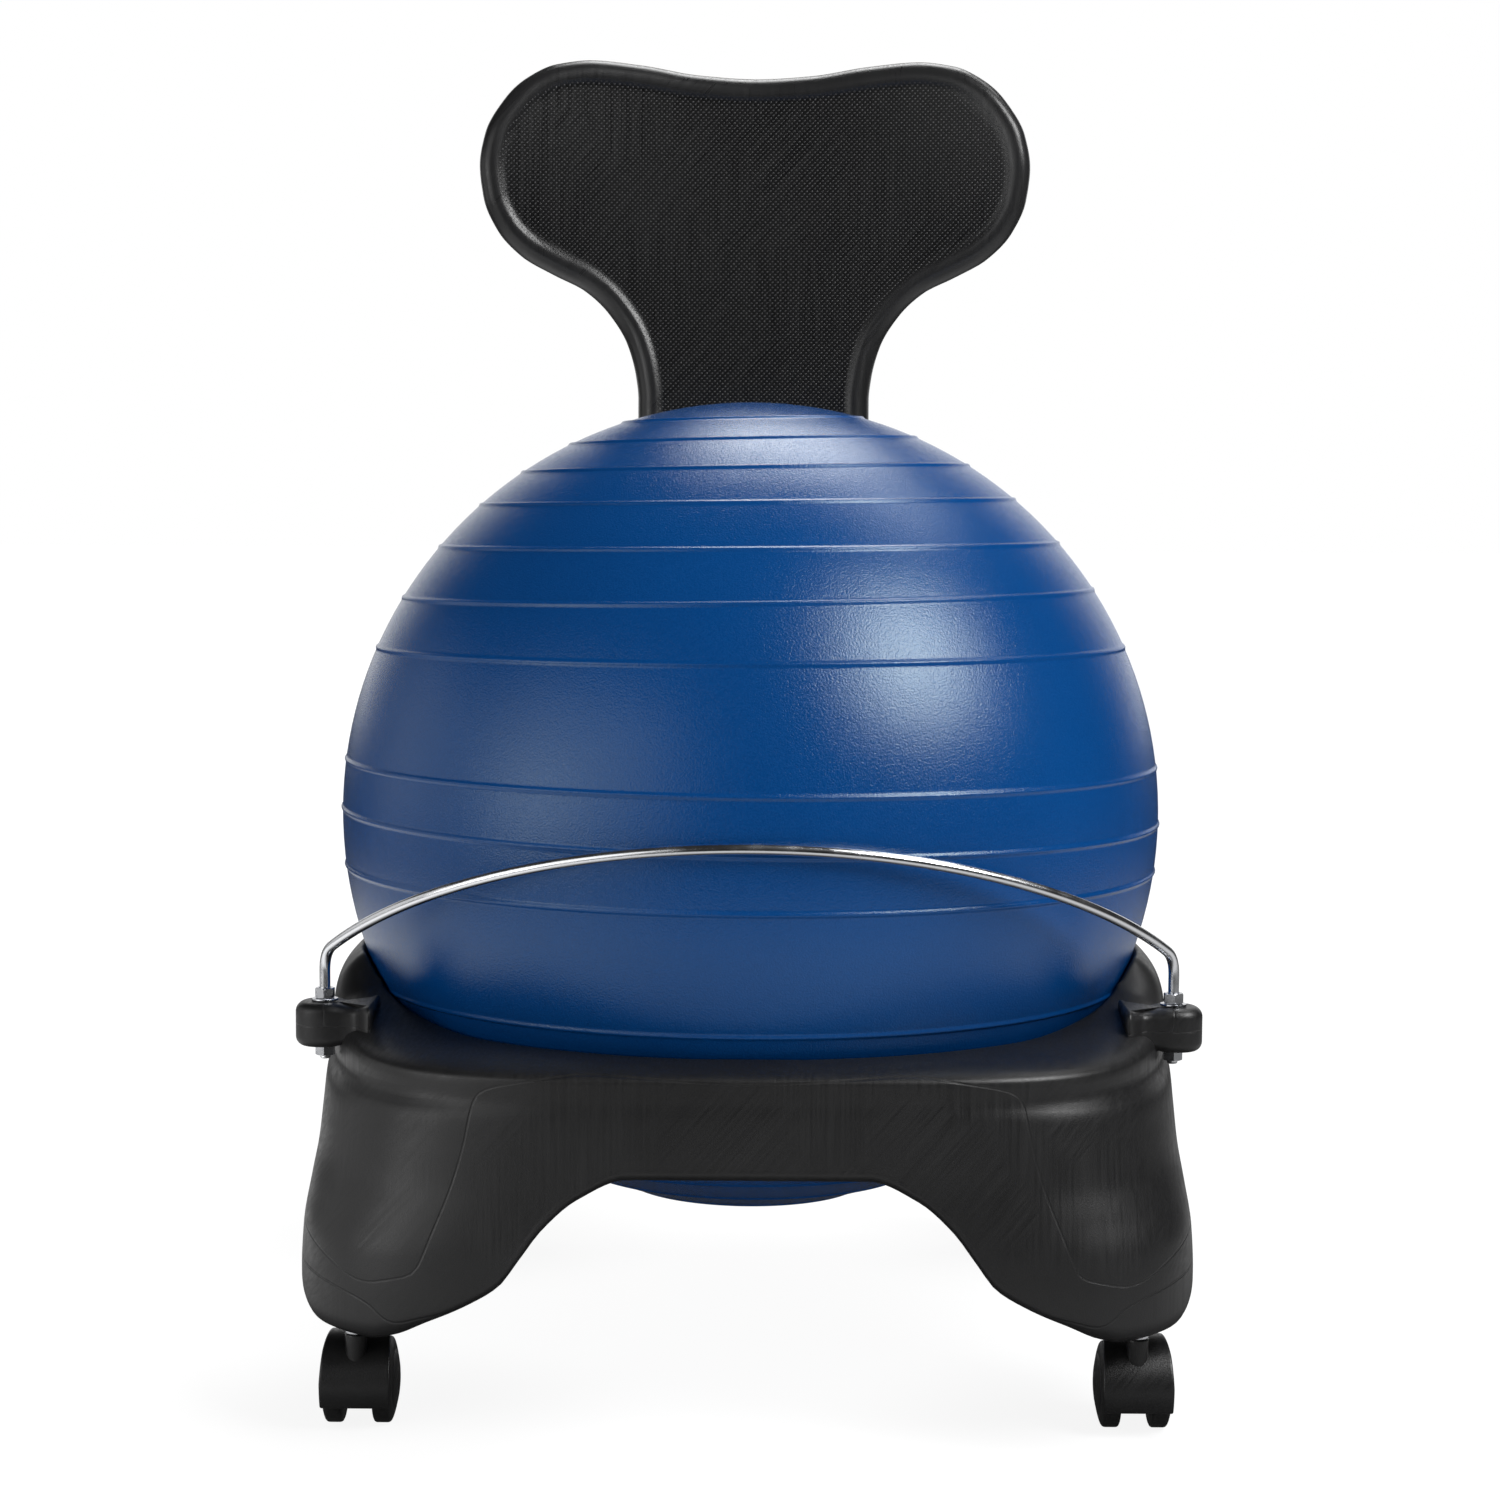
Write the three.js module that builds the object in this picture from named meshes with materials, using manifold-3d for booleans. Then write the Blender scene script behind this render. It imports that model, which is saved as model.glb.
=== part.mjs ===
// Balance ball chair: an air-filled ball sits in a hollow moulded base on four casters, kept in
// place by a bent bar in front and a moulded backrest behind. Millimetres, +Z up, front to -Y.
import * as THREE from 'three';
import { mergeVertices } from 'three/addons/utils/BufferGeometryUtils.js';
import Module from 'manifold-3d';

const wasm = await Module();
wasm.setup();

// Fits and cuts
const fitGap = 0.3; // between pieces that touch
const runGap = 0.1; // radial, where one piece turns in another
const overrun = 3; // how far a cut runs past the face that it cuts
const holeSides = 14;
const ventSides = 8;

// Casters' wheels, and the height of the base's feet over them
const wheelRadius = 25;
const wheelSides = 20;
const footOverWheels = 12.6;
const footZ = 2 * wheelRadius + footOverWheels;

// Ball
const ballRadius = 260;
const ballOverFeet = 19.8;
const ballCentreZ = footZ + ballOverFeet + ballRadius;
const ballWall = 1.2;
const ridgeHeight = 1.2;
const ridgeHalfWidth = 2.4;
const undersideRise = 7.8; // the free underside, within the seat's open middle, is flatter than a sphere
const ridgeLatitudes = [0, 7.3, 24.1, 32.5, 40.9, 49.3, 57, 65, 73];
const ridgeStep = 12; // degrees, past which a plain band gets a row in its middle
const ballSides = 32;
const valveRadius = 5;
const plugGrip = 9;
const plugHeadLip = 4;
const plugHeadRadius = valveRadius + plugHeadLip;
const plugHeadHeight = 1.6;

// Base: the plan is a rounded square whose corners swell into four legs
const rimPastBall = 3;
const footPastRim = 4.5;
const baseHalfTop = ballRadius + rimPastBall;
const baseHalfFoot = baseHalfTop + footPastRim;
const squarenessSide = 2.3;
const squarenessFront = 4.4;
const squarenessFoot = 6.3;
const footRound = 14;
const baseWall = 4.5;
const baseSides = 48;
const frontRimBelowCentre = 119;
const sideRimBelowCentre = 81;
const frontRimZ = ballCentreZ - frontRimBelowCentre;
const sideRimZ = ballCentreZ - sideRimBelowCentre;
const rimReach = 29; // how far the rounded top edge comes in from the wall
const frontRimDrop = 9;
const sideRimDrop = 34;
const seatLedge = 70; // how far the seat's open middle is smaller than the ball, in radius
const seatInnerRadius = ballRadius - seatLedge;
const archRise = 96.5;
const archTopZ = footZ + archRise;
const legWidth = 67.5;
const archHalfSpan = baseHalfFoot - legWidth;
const rimRiseShares = [[-1.1, 0], [-0.87, 0], [-0.56, 0.18], [-0.38, 0.42], [-0.24, 0.94], [-0.1, 1],
  [1.3, 1]];
const archShares = [[0, 1], [0.34, 1], [0.48, 0.88], [0.58, 0.7], [0.645, 0.52], [0.7, 0.37],
  [0.78, 0.265], [0.9, 0.145], [1, 0.04], [1.08, 0], [1.5, 0]];

// Ears that carry the retaining bar
const earAngle = 29.64; // degrees from the base's side round to its front, where the ear grows out
const earBelowRim = 21.5;
const earHeight = 26.3;
const earHighZ = sideRimZ - earBelowRim;
const earLowZ = earHighZ - earHeight;
const earRadius = 17.3;
const earEdge = 3;
const earRoot = 30;
const flareBelowEars = 10.2; // where the plan starts to change from round to square, going down
const flareHeight = 96;
const flareShares = [[-1, 0], [0, 0], [0.2, 0.11], [0.41, 0.44], [0.59, 0.69], [0.78, 0.8], [0.92, 0.88],
  [1, 1], [3, 1]];
const flareHighZ = earLowZ - flareBelowEars;
const flareLowZ = flareHighZ - flareHeight;

// Retaining bar, its nuts and washers
const barRadius = 3.25;
const barOverCentre = 5;
const barOverEars = 29.5;
const barFrontZ = ballCentreZ + barOverCentre;
const barBendZ = earHighZ + barOverEars;
const barBendRadius = 11;
const barBallGap = 0.5;
const barEndBelowNut = 2.5;
const barSides = 8;
const nutAcrossFlats = 11;
const nutHeight = 6;
const nutCorner = nutAcrossFlats / Math.sqrt(3);
const nutWallGap = 1.95; // from the lower nut's corner to the base's wall
const earTurn = THREE.MathUtils.degToRad(earAngle);
const earWall = planRadius(earTurn, flareHighZ, 0);
const earX = earWall * Math.cos(earTurn) + nutCorner + nutWallGap;
const earY = -earWall * Math.sin(earTurn);
const barWasherRadius = 8;
const barWasherHeight = 1.3;

// Backrest: a hollow T-shaped panel, rounded all round its edge
const neckHalfWidth = 84;
const neckThickness = 34;
const pocketFloor = 11;
const neckBottomZ = archTopZ + pocketFloor;
const neckStraightLength = 443.3;
const neckStraightTopZ = neckBottomZ + neckStraightLength;
const panelHalfWidth = 198;
const panelThickness = 26;
const panelRise = 230;
const cornerZ = neckStraightTopZ + panelRise;
const lobeRise = 13;
const lobePower = 8; // how closely the rise of the two lobes keeps to the top edge
const backrestWall = 3.5;
const neckBallGap = 0.8;
const panelLean = 12;
const panelWrap = 30;
const sideWidthShares = [[0, 0], [0.07, 0.006], [0.17, 0.05], [0.27, 0.16], [0.34, 0.32], [0.385, 0.5],
  [0.44, 0.72], [0.52, 0.89], [0.62, 0.978], [0.72, 1], [0.82, 0.965], [0.93, 0.84], [1, 0.69]];
const topRiseShares = [[0, 0.12], [0.25, 0.3], [0.5, 0.78], [0.72, 1], [0.88, 0.72], [1, 0]];

// Pocket in the back of the base that the neck stands in, with its two bolts
const pocketSide = 15;
const pocketBack = 14;
const pocketOverRim = 32;
const pocketTopZ = sideRimZ + pocketOverRim;
const pocketRound = 16;
const boltX = 45;
const boltBelowTop = 50;
const boltZ = pocketTopZ - boltBelowTop;
const boltRadius = 4;
const boltHeadLip = 3.5;
const boltHeadRadius = boltRadius + boltHeadLip;
const boltHeadHeight = 5;
const boltSocketRadius = 2.9;
const boltSocketDepth = 3;
const boltWasherLip = 1.5;
const boltWasherRadius = boltHeadRadius + boltWasherLip;
const boltWasherHeight = 1.5;
const insertWall = 2.5;
const insertRadius = boltRadius + insertWall;
const insertLength = 20;

// Casters: twin wheels under a hood that swivels on a pressed-in stem
const casterInX = 40.7; // from the side of the foot in to the stem
const casterInY = 53.5;
const casterX = baseHalfFoot - casterInX;
const casterY = baseHalfFoot - casterInY;
const casterTrail = 18;
const webHalfWidth = 7.6;
const webRadius = 20;
const wheelWebGap = 1.4;
const wheelInnerX = webHalfWidth + wheelWebGap;
const treadWidth = 12;
const wheelDome = 2.5;
const domeShare = 0.8; // of the dome's height, reached half-way in from the rim
const axleRadius = 3;
const axleInWheel = 8;
const axleHalfLength = wheelInnerX + axleInWheel;
const stemRadius = 5.5;
const stemLowRadius = 4;
const stemDrop = 20;
const stemBelowSocketTop = 4;
const collarLip = 0.6;
const collarRadius = stemRadius + collarLip;
const collarHeight = 3;
const socketWall = 2.4;
const socketRadius = stemRadius + runGap + socketWall;
const socketFlangeLip = 2.5;
const socketFlangeRadius = socketRadius + socketFlangeLip;
const socketFlangeHeight = 1;
const socketRise = 28;
const bossWall = 4;
const ventRadius = 1.8; // the hole in each boss that the base is blown through
const hoodGap = 1.6;
const hoodThick = 2.4;
const hoodPastTread = 1.2;
const hoodHalfWidth = wheelInnerX + treadWidth + hoodPastTread;
const hoodLowAngle = -42; // degrees about the axle, from the stem side
const hoodHighAngle = 128;
const stemBossRadius = 6.3;
const stemBossLowZ = 33;
const leverHalfWidth = 6;
const leverThick = 3;
const leverReach = 15;
const leverPinRadius = 2;
const leverPinGrip = 3;
const leverPinOut = leverHalfWidth + leverPinGrip;
const leverAngle = 146; // degrees about the axle, where the brake lever is hinged
const leverCheek = 2.2;

// From the foot down: the socket's flange, the stem's collar and the top of the hood
const flangeZ = footZ - fitGap - socketFlangeHeight;
const socketTopZ = footZ - fitGap + socketRise;
const collarZ = flangeZ - fitGap - collarHeight;
const hoodTopZ = collarZ - fitGap;

const material = (color, roughness, metalness) => (
  new THREE.MeshStandardMaterial({ color, roughness, metalness }));
const materials = {
  base: material(0x1c1c1d, 0.55, 0),
  backrest: material(0x18181a, 0.6, 0),
  ball: material(0x123a80, 0.38, 0),
  plug: material(0xd9d9d6, 0.5, 0),
  chrome: material(0xc9ccd1, 0.18, 1),
  zinc: material(0xb4bac2, 0.35, 1),
  brass: material(0xb5974f, 0.4, 1),
  casterPlastic: material(0x151516, 0.45, 0),
  wheel: material(0x1a1a1b, 0.5, 0),
  socket: material(0x101011, 0.6, 0),
};

const chair = new THREE.Group();
const radians = THREE.MathUtils.degToRad;

function place(name, geometry, look, x = 0, y = 0, z = 0) {
  const mesh = new THREE.Mesh(geometry, look);
  mesh.name = name;
  mesh.position.set(x, y, z);
  chair.add(mesh);
  return mesh;
}

// Closed geometry to a solid for joining and cutting, and back
function solid(geometry) {
  const bare = geometry.clone();
  bare.deleteAttribute('normal');
  bare.deleteAttribute('uv');
  const merged = mergeVertices(bare);
  return new wasm.Manifold(new wasm.Mesh({
    numProp: 3,
    vertProperties: new Float32Array(merged.attributes.position.array),
    triVerts: new Uint32Array(merged.index.array),
  }));
}

function meshOf(body) {
  const { vertProperties, triVerts } = body.getMesh();
  const geometry = new THREE.BufferGeometry();
  geometry.setAttribute('position', new THREE.BufferAttribute(vertProperties, 3));
  geometry.setIndex(new THREE.BufferAttribute(triVerts, 1));
  geometry.computeVertexNormals();
  return geometry;
}

// A smooth curve through points, that never overshoots between two of them
function smoothThrough(points, at) {
  const last = points.length - 1;
  if (at <= points[0][0]) return points[0][1];
  if (at >= points[last][0]) return points[last][1];
  const slope = (i) => (points[i + 1][1] - points[i][1]) / (points[i + 1][0] - points[i][0]);
  const tangent = (i) => {
    if (i === 0 || i === last || slope(i - 1) * slope(i) <= 0) return 0;
    return (2 * slope(i - 1) * slope(i)) / (slope(i - 1) + slope(i));
  };
  let i = 0;
  while (at > points[i + 1][0]) i += 1;
  const span = points[i + 1][0] - points[i][0];
  const t = (at - points[i][0]) / span;
  const ease = t * t * (3 - 2 * t);
  return points[i][1] + ease * (points[i + 1][1] - points[i][1])
    + span * t * (1 - t) * ((1 - t) * tangent(i) - t * tangent(i + 1));
}

// A solid of revolution about Z, from [radius, z] points
function turned(points, sides) {
  const profile = points.map(([r, z]) => new THREE.Vector2(r, z));
  return new THREE.LatheGeometry(profile, sides).rotateX(Math.PI / 2);
}

function rod(radius, lowZ, highZ, sides) {
  return turned([[0, lowZ], [radius, lowZ], [radius, highZ], [0, highZ]], sides);
}

function ring(innerRadius, outerRadius, height, sides) {
  return turned([[innerRadius, 0], [outerRadius, 0], [outerRadius, height], [innerRadius, height],
    [innerRadius, 0]], sides);
}

// A flat outline of [across, up] points carried along +Z by a depth
function plate(points, depth) {
  const shape = new THREE.Shape(points.map(([across, up]) => new THREE.Vector2(across, up)));
  return new THREE.ExtrudeGeometry(shape, { depth, bevelEnabled: false });
}

// A closed body from rings of points with one point closing each end
function ringBody(rings, lowPole, highPole) {
  const sides = rings[0].length;
  const points = [lowPole, ...rings.flat(), highPole];
  const top = points.length - 1;
  const index = [];
  const at = (row, side) => 1 + row * sides + (side % sides);
  for (let side = 0; side < sides; side += 1) {
    index.push(0, at(0, side + 1), at(0, side));
    index.push(top, at(rings.length - 1, side), at(rings.length - 1, side + 1));
    for (let row = 0; row + 1 < rings.length; row += 1) {
      index.push(at(row, side), at(row, side + 1), at(row + 1, side + 1));
      index.push(at(row, side), at(row + 1, side + 1), at(row + 1, side));
    }
  }
  const geometry = new THREE.BufferGeometry();
  geometry.setAttribute('position', new THREE.Float32BufferAttribute(points.flat(), 3));
  geometry.setIndex(index);
  return geometry;
}

// Ball: a thin shell with raised rings of latitude and a valve hole underneath
function ballPoint(latitude, radius) {
  const depth = -radius * Math.sin(latitude);
  const seatDepth = Math.sqrt(ballRadius ** 2 - seatInnerRadius ** 2);
  const rise = undersideRise * THREE.MathUtils.smoothstep(depth, seatDepth, ballRadius - undersideRise);
  return [radius * Math.cos(latitude), ballCentreZ - depth + rise];
}

function outsideOfBall() {
  const latitudes = ridgeLatitudes.flatMap((angle) => (angle === 0 ? [0] : [-angle, angle]));
  latitudes.sort((a, b) => a - b);
  const ridgeHalfAngle = ridgeHalfWidth / ballRadius;
  const points = [ballPoint(-Math.acos(valveRadius / ballRadius), ballRadius)];
  latitudes.forEach((degrees, i) => {
    const latitude = radians(degrees);
    points.push(ballPoint(latitude - ridgeHalfAngle, ballRadius));
    points.push(ballPoint(latitude, ballRadius + ridgeHeight));
    points.push(ballPoint(latitude + ridgeHalfAngle, ballRadius));
    const next = i + 1 < latitudes.length ? radians(latitudes[i + 1]) : Math.PI / 2;
    if (next - latitude > radians(ridgeStep)) points.push(ballPoint((latitude + next) / 2, ballRadius));
  });
  points.push([0, ballCentreZ + ballRadius]);
  return points;
}

function insideOfBall() {
  const radius = ballRadius - ballWall;
  const rows = 16;
  const lowLatitude = -Math.acos(valveRadius / radius);
  const points = [[0, ballCentreZ + radius]];
  for (let row = 1; row <= rows; row += 1) {
    points.push(ballPoint(THREE.MathUtils.lerp(Math.PI / 2, lowLatitude, row / rows), radius));
  }
  return points;
}

function makeBall() {
  return turned([...insideOfBall(), ...outsideOfBall()], ballSides);
}

function makePlug() {
  const [, ballBottomZ] = ballPoint(-Math.PI / 2, ballRadius);
  const headTopZ = ballBottomZ - fitGap;
  const headLowZ = headTopZ - plugHeadHeight;
  const gripRadius = valveRadius - fitGap;
  return turned([[0, headLowZ], [plugHeadRadius - plugHeadHeight, headLowZ], [plugHeadRadius, headTopZ],
    [gripRadius, headTopZ], [gripRadius, ballBottomZ + plugGrip / 2],
    [gripRadius - ballWall, ballBottomZ + plugGrip], [0, ballBottomZ + plugGrip]], holeSides);
}

// Base: the plan's half-width and squareness change from the feet up to the rim, where the front
// and back are straighter than the sides
function planRadius(angle, z, inset) {
  const t = smoothThrough(flareShares, (z - flareLowZ) / flareHeight);
  const top = THREE.MathUtils.lerp(squarenessSide, squarenessFront, Math.sin(angle) ** 2);
  const half = THREE.MathUtils.lerp(baseHalfFoot, baseHalfTop, t) - inset;
  const power = THREE.MathUtils.lerp(squarenessFoot, top, t);
  const sum = Math.abs(Math.cos(angle)) ** power + Math.abs(Math.sin(angle)) ** power;
  return half / sum ** (1 / power);
}

function rimShare(angle) {
  return smoothThrough(rimRiseShares, (planRadius(angle, flareHighZ, 0) * Math.sin(angle)) / baseHalfTop);
}

function tower(inset) {
  const wallRows = inset ? 5 : 8;
  const edgeRows = inset ? 2 : 3;
  const ringAt = (zOf, insetOf) => Array.from({ length: baseSides }, (unused, side) => {
    const angle = (2 * Math.PI * side) / baseSides;
    const z = zOf(angle);
    const radius = planRadius(angle, z, insetOf(angle));
    return [radius * Math.cos(angle), radius * Math.sin(angle), z];
  });
  const rimZ = (angle) => THREE.MathUtils.lerp(frontRimZ, sideRimZ, rimShare(angle)) - inset;
  const drop = (angle) => THREE.MathUtils.lerp(frontRimDrop, sideRimDrop, rimShare(angle));
  const lowZ = footZ + inset;
  const rings = [];
  for (let row = 0; row < edgeRows; row += 1) {
    const turn = (Math.PI / 2) * (row / edgeRows);
    const z = lowZ + footRound * (1 - Math.cos(turn));
    rings.push(ringAt(() => z, () => inset + footRound * (1 - Math.sin(turn))));
  }
  for (let row = 0; row <= wallRows; row += 1) {
    const z = THREE.MathUtils.lerp(lowZ + footRound, flareHighZ, row / wallRows);
    rings.push(ringAt(() => z, () => inset));
  }
  for (let row = 0; row <= edgeRows; row += 1) {
    const turn = (Math.PI / 2) * (row / edgeRows);
    rings.push(ringAt((angle) => rimZ(angle) - drop(angle) * (1 - Math.sin(turn)),
      () => inset + rimReach * (1 - Math.cos(turn))));
  }
  const middleZ = frontRimZ - inset;
  return solid(ringBody(rings, [0, 0, lowZ], [0, 0, middleZ]));
}

// The bowl that the ball sits in, and the open middle below it, grown by a wall where asked
function bowl(grow) {
  const clear = ballRadius + ridgeHeight + fitGap + grow;
  const middle = seatInnerRadius + grow;
  const rows = 14;
  const lowLatitude = -Math.acos(middle / clear);
  const radius = clear / Math.cos((Math.PI / 2 - lowLatitude) / rows / 2);
  const profile = [[0, footZ - overrun], [middle, footZ - overrun]];
  for (let row = 0; row <= rows; row += 1) {
    const latitude = THREE.MathUtils.lerp(lowLatitude, Math.PI / 2, row / rows);
    profile.push([radius * Math.cos(latitude), ballCentreZ + radius * Math.sin(latitude)]);
  }
  profile[profile.length - 1][0] = 0;
  return solid(turned(profile, ballSides));
}

// The arch between two legs, the same on all four sides, as one tunnel along Y
function archTunnel(grow) {
  const steps = 14;
  const reach = 2 * baseHalfFoot;
  const side = [];
  for (let step = 0; step <= steps; step += 1) {
    const share = (archShares.at(-2)[0] * step) / steps;
    side.push([archHalfSpan * share, footZ + (archTopZ - footZ) * smoothThrough(archShares, share)]);
  }
  const grown = side.map(([across, z], i) => {
    const before = side[Math.max(i - 1, 0)];
    const after = side[Math.min(i + 1, side.length - 1)];
    const length = Math.hypot(after[0] - before[0], after[1] - before[1]);
    return [across + (grow * (before[1] - after[1])) / length, z + (grow * (after[0] - before[0])) / length];
  });
  grown[0][0] = 0;
  const outer = [grown.at(-1)[0], footZ - overrun];
  const half = [...grown, outer];
  const outline = [...half, ...half.slice(1).reverse().map(([across, z]) => [-across, z])];
  return plate(outline.reverse(), 2 * reach).translate(0, 0, -reach).rotateX(Math.PI / 2);
}

function arches(grow) {
  const along = archTunnel(grow);
  return solid(along).add(solid(along.clone().rotateZ(Math.PI / 2)));
}

const neckMidY = ballRadius + ridgeHeight + neckBallGap + neckThickness / 2;
const pocketBackY = neckMidY + neckThickness / 2 + fitGap + pocketBack;

function pocketBlock() {
  const halfWidth = neckHalfWidth + fitGap + pocketSide;
  const frontY = seatInnerRadius;
  const shape = new THREE.Shape();
  shape.moveTo(-halfWidth, frontY);
  shape.lineTo(halfWidth, frontY);
  shape.lineTo(halfWidth, pocketBackY - pocketRound);
  shape.absarc(halfWidth - pocketRound, pocketBackY - pocketRound, pocketRound, 0, Math.PI / 2);
  shape.absarc(pocketRound - halfWidth, pocketBackY - pocketRound, pocketRound, Math.PI / 2, Math.PI);
  shape.closePath();
  const bevel = { bevelSize: pocketRound / 2, bevelThickness: pocketRound / 2, bevelSegments: 2 };
  const depth = pocketTopZ - archTopZ - pocketRound;
  const settings = { depth, curveSegments: 5, bevelOffset: -pocketRound / 2, ...bevel };
  const block = new THREE.ExtrudeGeometry(shape, settings);
  return solid(block.translate(0, 0, archTopZ + pocketRound / 2));
}

function pocketSlot() {
  const halfWidth = neckHalfWidth + fitGap;
  const halfDepth = neckThickness / 2 + fitGap;
  const lowZ = neckBottomZ - fitGap;
  const outline = [[-halfWidth, neckMidY - halfDepth], [halfWidth, neckMidY - halfDepth],
    [halfWidth, neckMidY + halfDepth], [-halfWidth, neckMidY + halfDepth]];
  return solid(plate(outline, pocketTopZ + overrun - lowZ).translate(0, 0, lowZ));
}

function ear(side) {
  const shape = new THREE.Shape();
  const round = earRadius - earEdge;
  shape.moveTo(-earRoot, -round);
  shape.lineTo(0, -round);
  shape.absarc(0, 0, round, -Math.PI / 2, Math.PI / 2);
  shape.lineTo(-earRoot, round);
  shape.closePath();
  const depth = earHighZ - earLowZ - 2 * earEdge;
  const tongue = new THREE.ExtrudeGeometry(shape, {
    depth, curveSegments: 10, bevelSize: earEdge, bevelThickness: earEdge, bevelSegments: 2,
  });
  if (side < 0) tongue.rotateZ(Math.PI);
  return solid(tongue.translate(side * earX, earY, earLowZ + earEdge));
}

const casterPlaces = [['front_left', -1, -1], ['front_right', 1, -1],
  ['rear_left', -1, 1], ['rear_right', 1, 1]];

// A cylinder along Y from the back of the pocket, for the bolt holes and the inserts' holes
function backHole(side, radius, fromY, toY) {
  const hole = rod(radius, 0, toY - fromY, holeSides).rotateX(-Math.PI / 2);
  return solid(hole.translate(side * boltX, fromY, boltZ));
}

function makeBase() {
  const cavity = tower(baseWall).subtract(bowl(baseWall)).subtract(arches(baseWall));
  let base = tower(0).subtract(cavity).add(pocketBlock()).subtract(bowl(0)).subtract(arches(0));
  base = base.subtract(pocketSlot());
  for (const side of [-1, 1]) {
    const barHole = rod(barRadius + fitGap, earLowZ - overrun, earHighZ + overrun, holeSides);
    base = base.add(ear(side).subtract(bowl(0))).subtract(solid(barHole.translate(side * earX, earY, 0)));
    base = base.subtract(backHole(side, boltRadius + fitGap, neckMidY, pocketBackY + overrun));
  }
  for (const [, sideX, sideY] of casterPlaces) {
    const boreTopZ = socketTopZ + fitGap;
    const boss = rod(socketRadius + fitGap + bossWall, footZ, boreTopZ + bossWall, holeSides);
    const bore = rod(socketRadius + fitGap, footZ - overrun, boreTopZ, holeSides);
    const vent = rod(ventRadius, footZ, boreTopZ + bossWall + overrun, ventSides);
    base = base.add(solid(boss.translate(sideX * casterX, sideY * casterY, 0)));
    base = base.subtract(solid(bore.translate(sideX * casterX, sideY * casterY, 0)));
    base = base.subtract(solid(vent.translate(sideX * casterX, sideY * casterY, 0)));
  }
  return meshOf(base);
}

// Backrest: the edge is a full round, so the half-thickness grows from zero at the outline
function backrestWidth(z) {
  const share = (z - neckStraightTopZ) / (cornerZ - neckStraightTopZ);
  return neckHalfWidth + (panelHalfWidth - neckHalfWidth) * smoothThrough(sideWidthShares, share);
}

const rowShares = [0, 0.006, 0.02, 0.05, 0.2, 0.4, 0.6, 0.64, 0.68, 0.71, 0.735, 0.755, 0.772, 0.785, 0.8,
  0.815, 0.835, 0.86, 0.885, 0.91, 0.935, 0.955, 0.97, 0.982, 0.992, 1];
const columnShares = [-1, -0.985, -0.95, -0.9, -0.8, -0.6, -0.4, -0.2, 0, 0.2, 0.4, 0.6, 0.8, 0.9, 0.95,
  0.985, 1];

function backrestPoint(across, up) {
  const sideZ = THREE.MathUtils.lerp(neckBottomZ, cornerZ, up);
  const lift = lobeRise * smoothThrough(topRiseShares, Math.abs(across));
  return [across * backrestWidth(sideZ), sideZ + lift * up ** lobePower];
}

const outlineUp = rowShares.map((up) => backrestPoint(1, up));
const outlineTop = columnShares.map((across) => backrestPoint(across, 1)).reverse();
const backrestOutline = [[0, neckBottomZ], ...outlineUp, ...outlineTop.slice(1),
  ...outlineUp.slice(0, -1).reverse().map(([x, z]) => [-x, z])];

function distanceToOutline(x, z) {
  let nearest = Infinity;
  backrestOutline.forEach(([endX, endZ], i) => {
    const [startX, startZ] = backrestOutline.at(i - 1);
    const runX = endX - startX;
    const runZ = endZ - startZ;
    const run = runX * runX + runZ * runZ;
    if (run === 0) return;
    const share = THREE.MathUtils.clamp(((x - startX) * runX + (z - startZ) * runZ) / run, 0, 1);
    nearest = Math.min(nearest, Math.hypot(x - startX - share * runX, z - startZ - share * runZ));
  });
  return nearest;
}

function backrestMid(x, z) {
  const above = THREE.MathUtils.smoothstep(z, neckStraightTopZ, cornerZ);
  return neckMidY + panelLean * above - panelWrap * above * (x / panelHalfWidth) ** 2;
}

function backrestHalf(x, z, wall) {
  const above = THREE.MathUtils.smoothstep(z, neckStraightTopZ, cornerZ);
  const half = THREE.MathUtils.lerp(neckThickness, panelThickness, above) / 2 - wall;
  const inward = Math.min(distanceToOutline(x, z) / half, 1);
  return half * Math.sqrt(1 - (1 - inward) ** 2);
}

function backrestShell(wall) {
  const squeeze = 1 - wall / neckHalfWidth;
  const middleZ = (neckBottomZ + cornerZ) / 2;
  const shorten = 1 - wall / (cornerZ - middleZ);
  const columns = columnShares.filter((across, i) => !wall || i % 2 === 0);
  const points = [];
  for (const face of [-1, 1]) {
    rowShares.forEach((up, row) => columns.forEach((across, column) => {
      const [x, z] = backrestPoint(across, up);
      const border = [0, rowShares.length - 1].includes(row) || [0, columns.length - 1].includes(column);
      const half = border ? 0 : backrestHalf(x, z, wall);
      points.push([x * squeeze, backrestMid(x, z) + face * half, middleZ + (z - middleZ) * shorten]);
    }));
  }
  const index = [];
  const at = (face, row, column) => (face * rowShares.length + row) * columns.length + column;
  for (let row = 0; row + 1 < rowShares.length; row += 1) {
    for (let column = 0; column + 1 < columns.length; column += 1) {
      const [front, back] = [0, 1].map((face) => [at(face, row, column), at(face, row, column + 1),
        at(face, row + 1, column + 1), at(face, row + 1, column)]);
      index.push(front[0], front[1], front[2], front[0], front[2], front[3]);
      index.push(back[0], back[2], back[1], back[0], back[3], back[2]);
    }
  }
  const geometry = new THREE.BufferGeometry();
  geometry.setAttribute('position', new THREE.Float32BufferAttribute(points.flat(), 3));
  geometry.setIndex(index);
  return solid(geometry);
}

function makeBackrest() {
  let panel = backrestShell(0).subtract(backrestShell(backrestWall));
  for (const side of [-1, 1]) {
    panel = panel.subtract(backHole(side, insertRadius + fitGap, neckMidY, pocketBackY));
  }
  return meshOf(panel);
}

// Bolts through the back of the pocket into threaded inserts in the neck
const insertBackY = neckMidY + neckThickness / 2;

function makeInsert() {
  const bore = boltRadius + runGap;
  return ring(bore, insertRadius, insertLength, holeSides).rotateX(Math.PI / 2);
}

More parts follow.
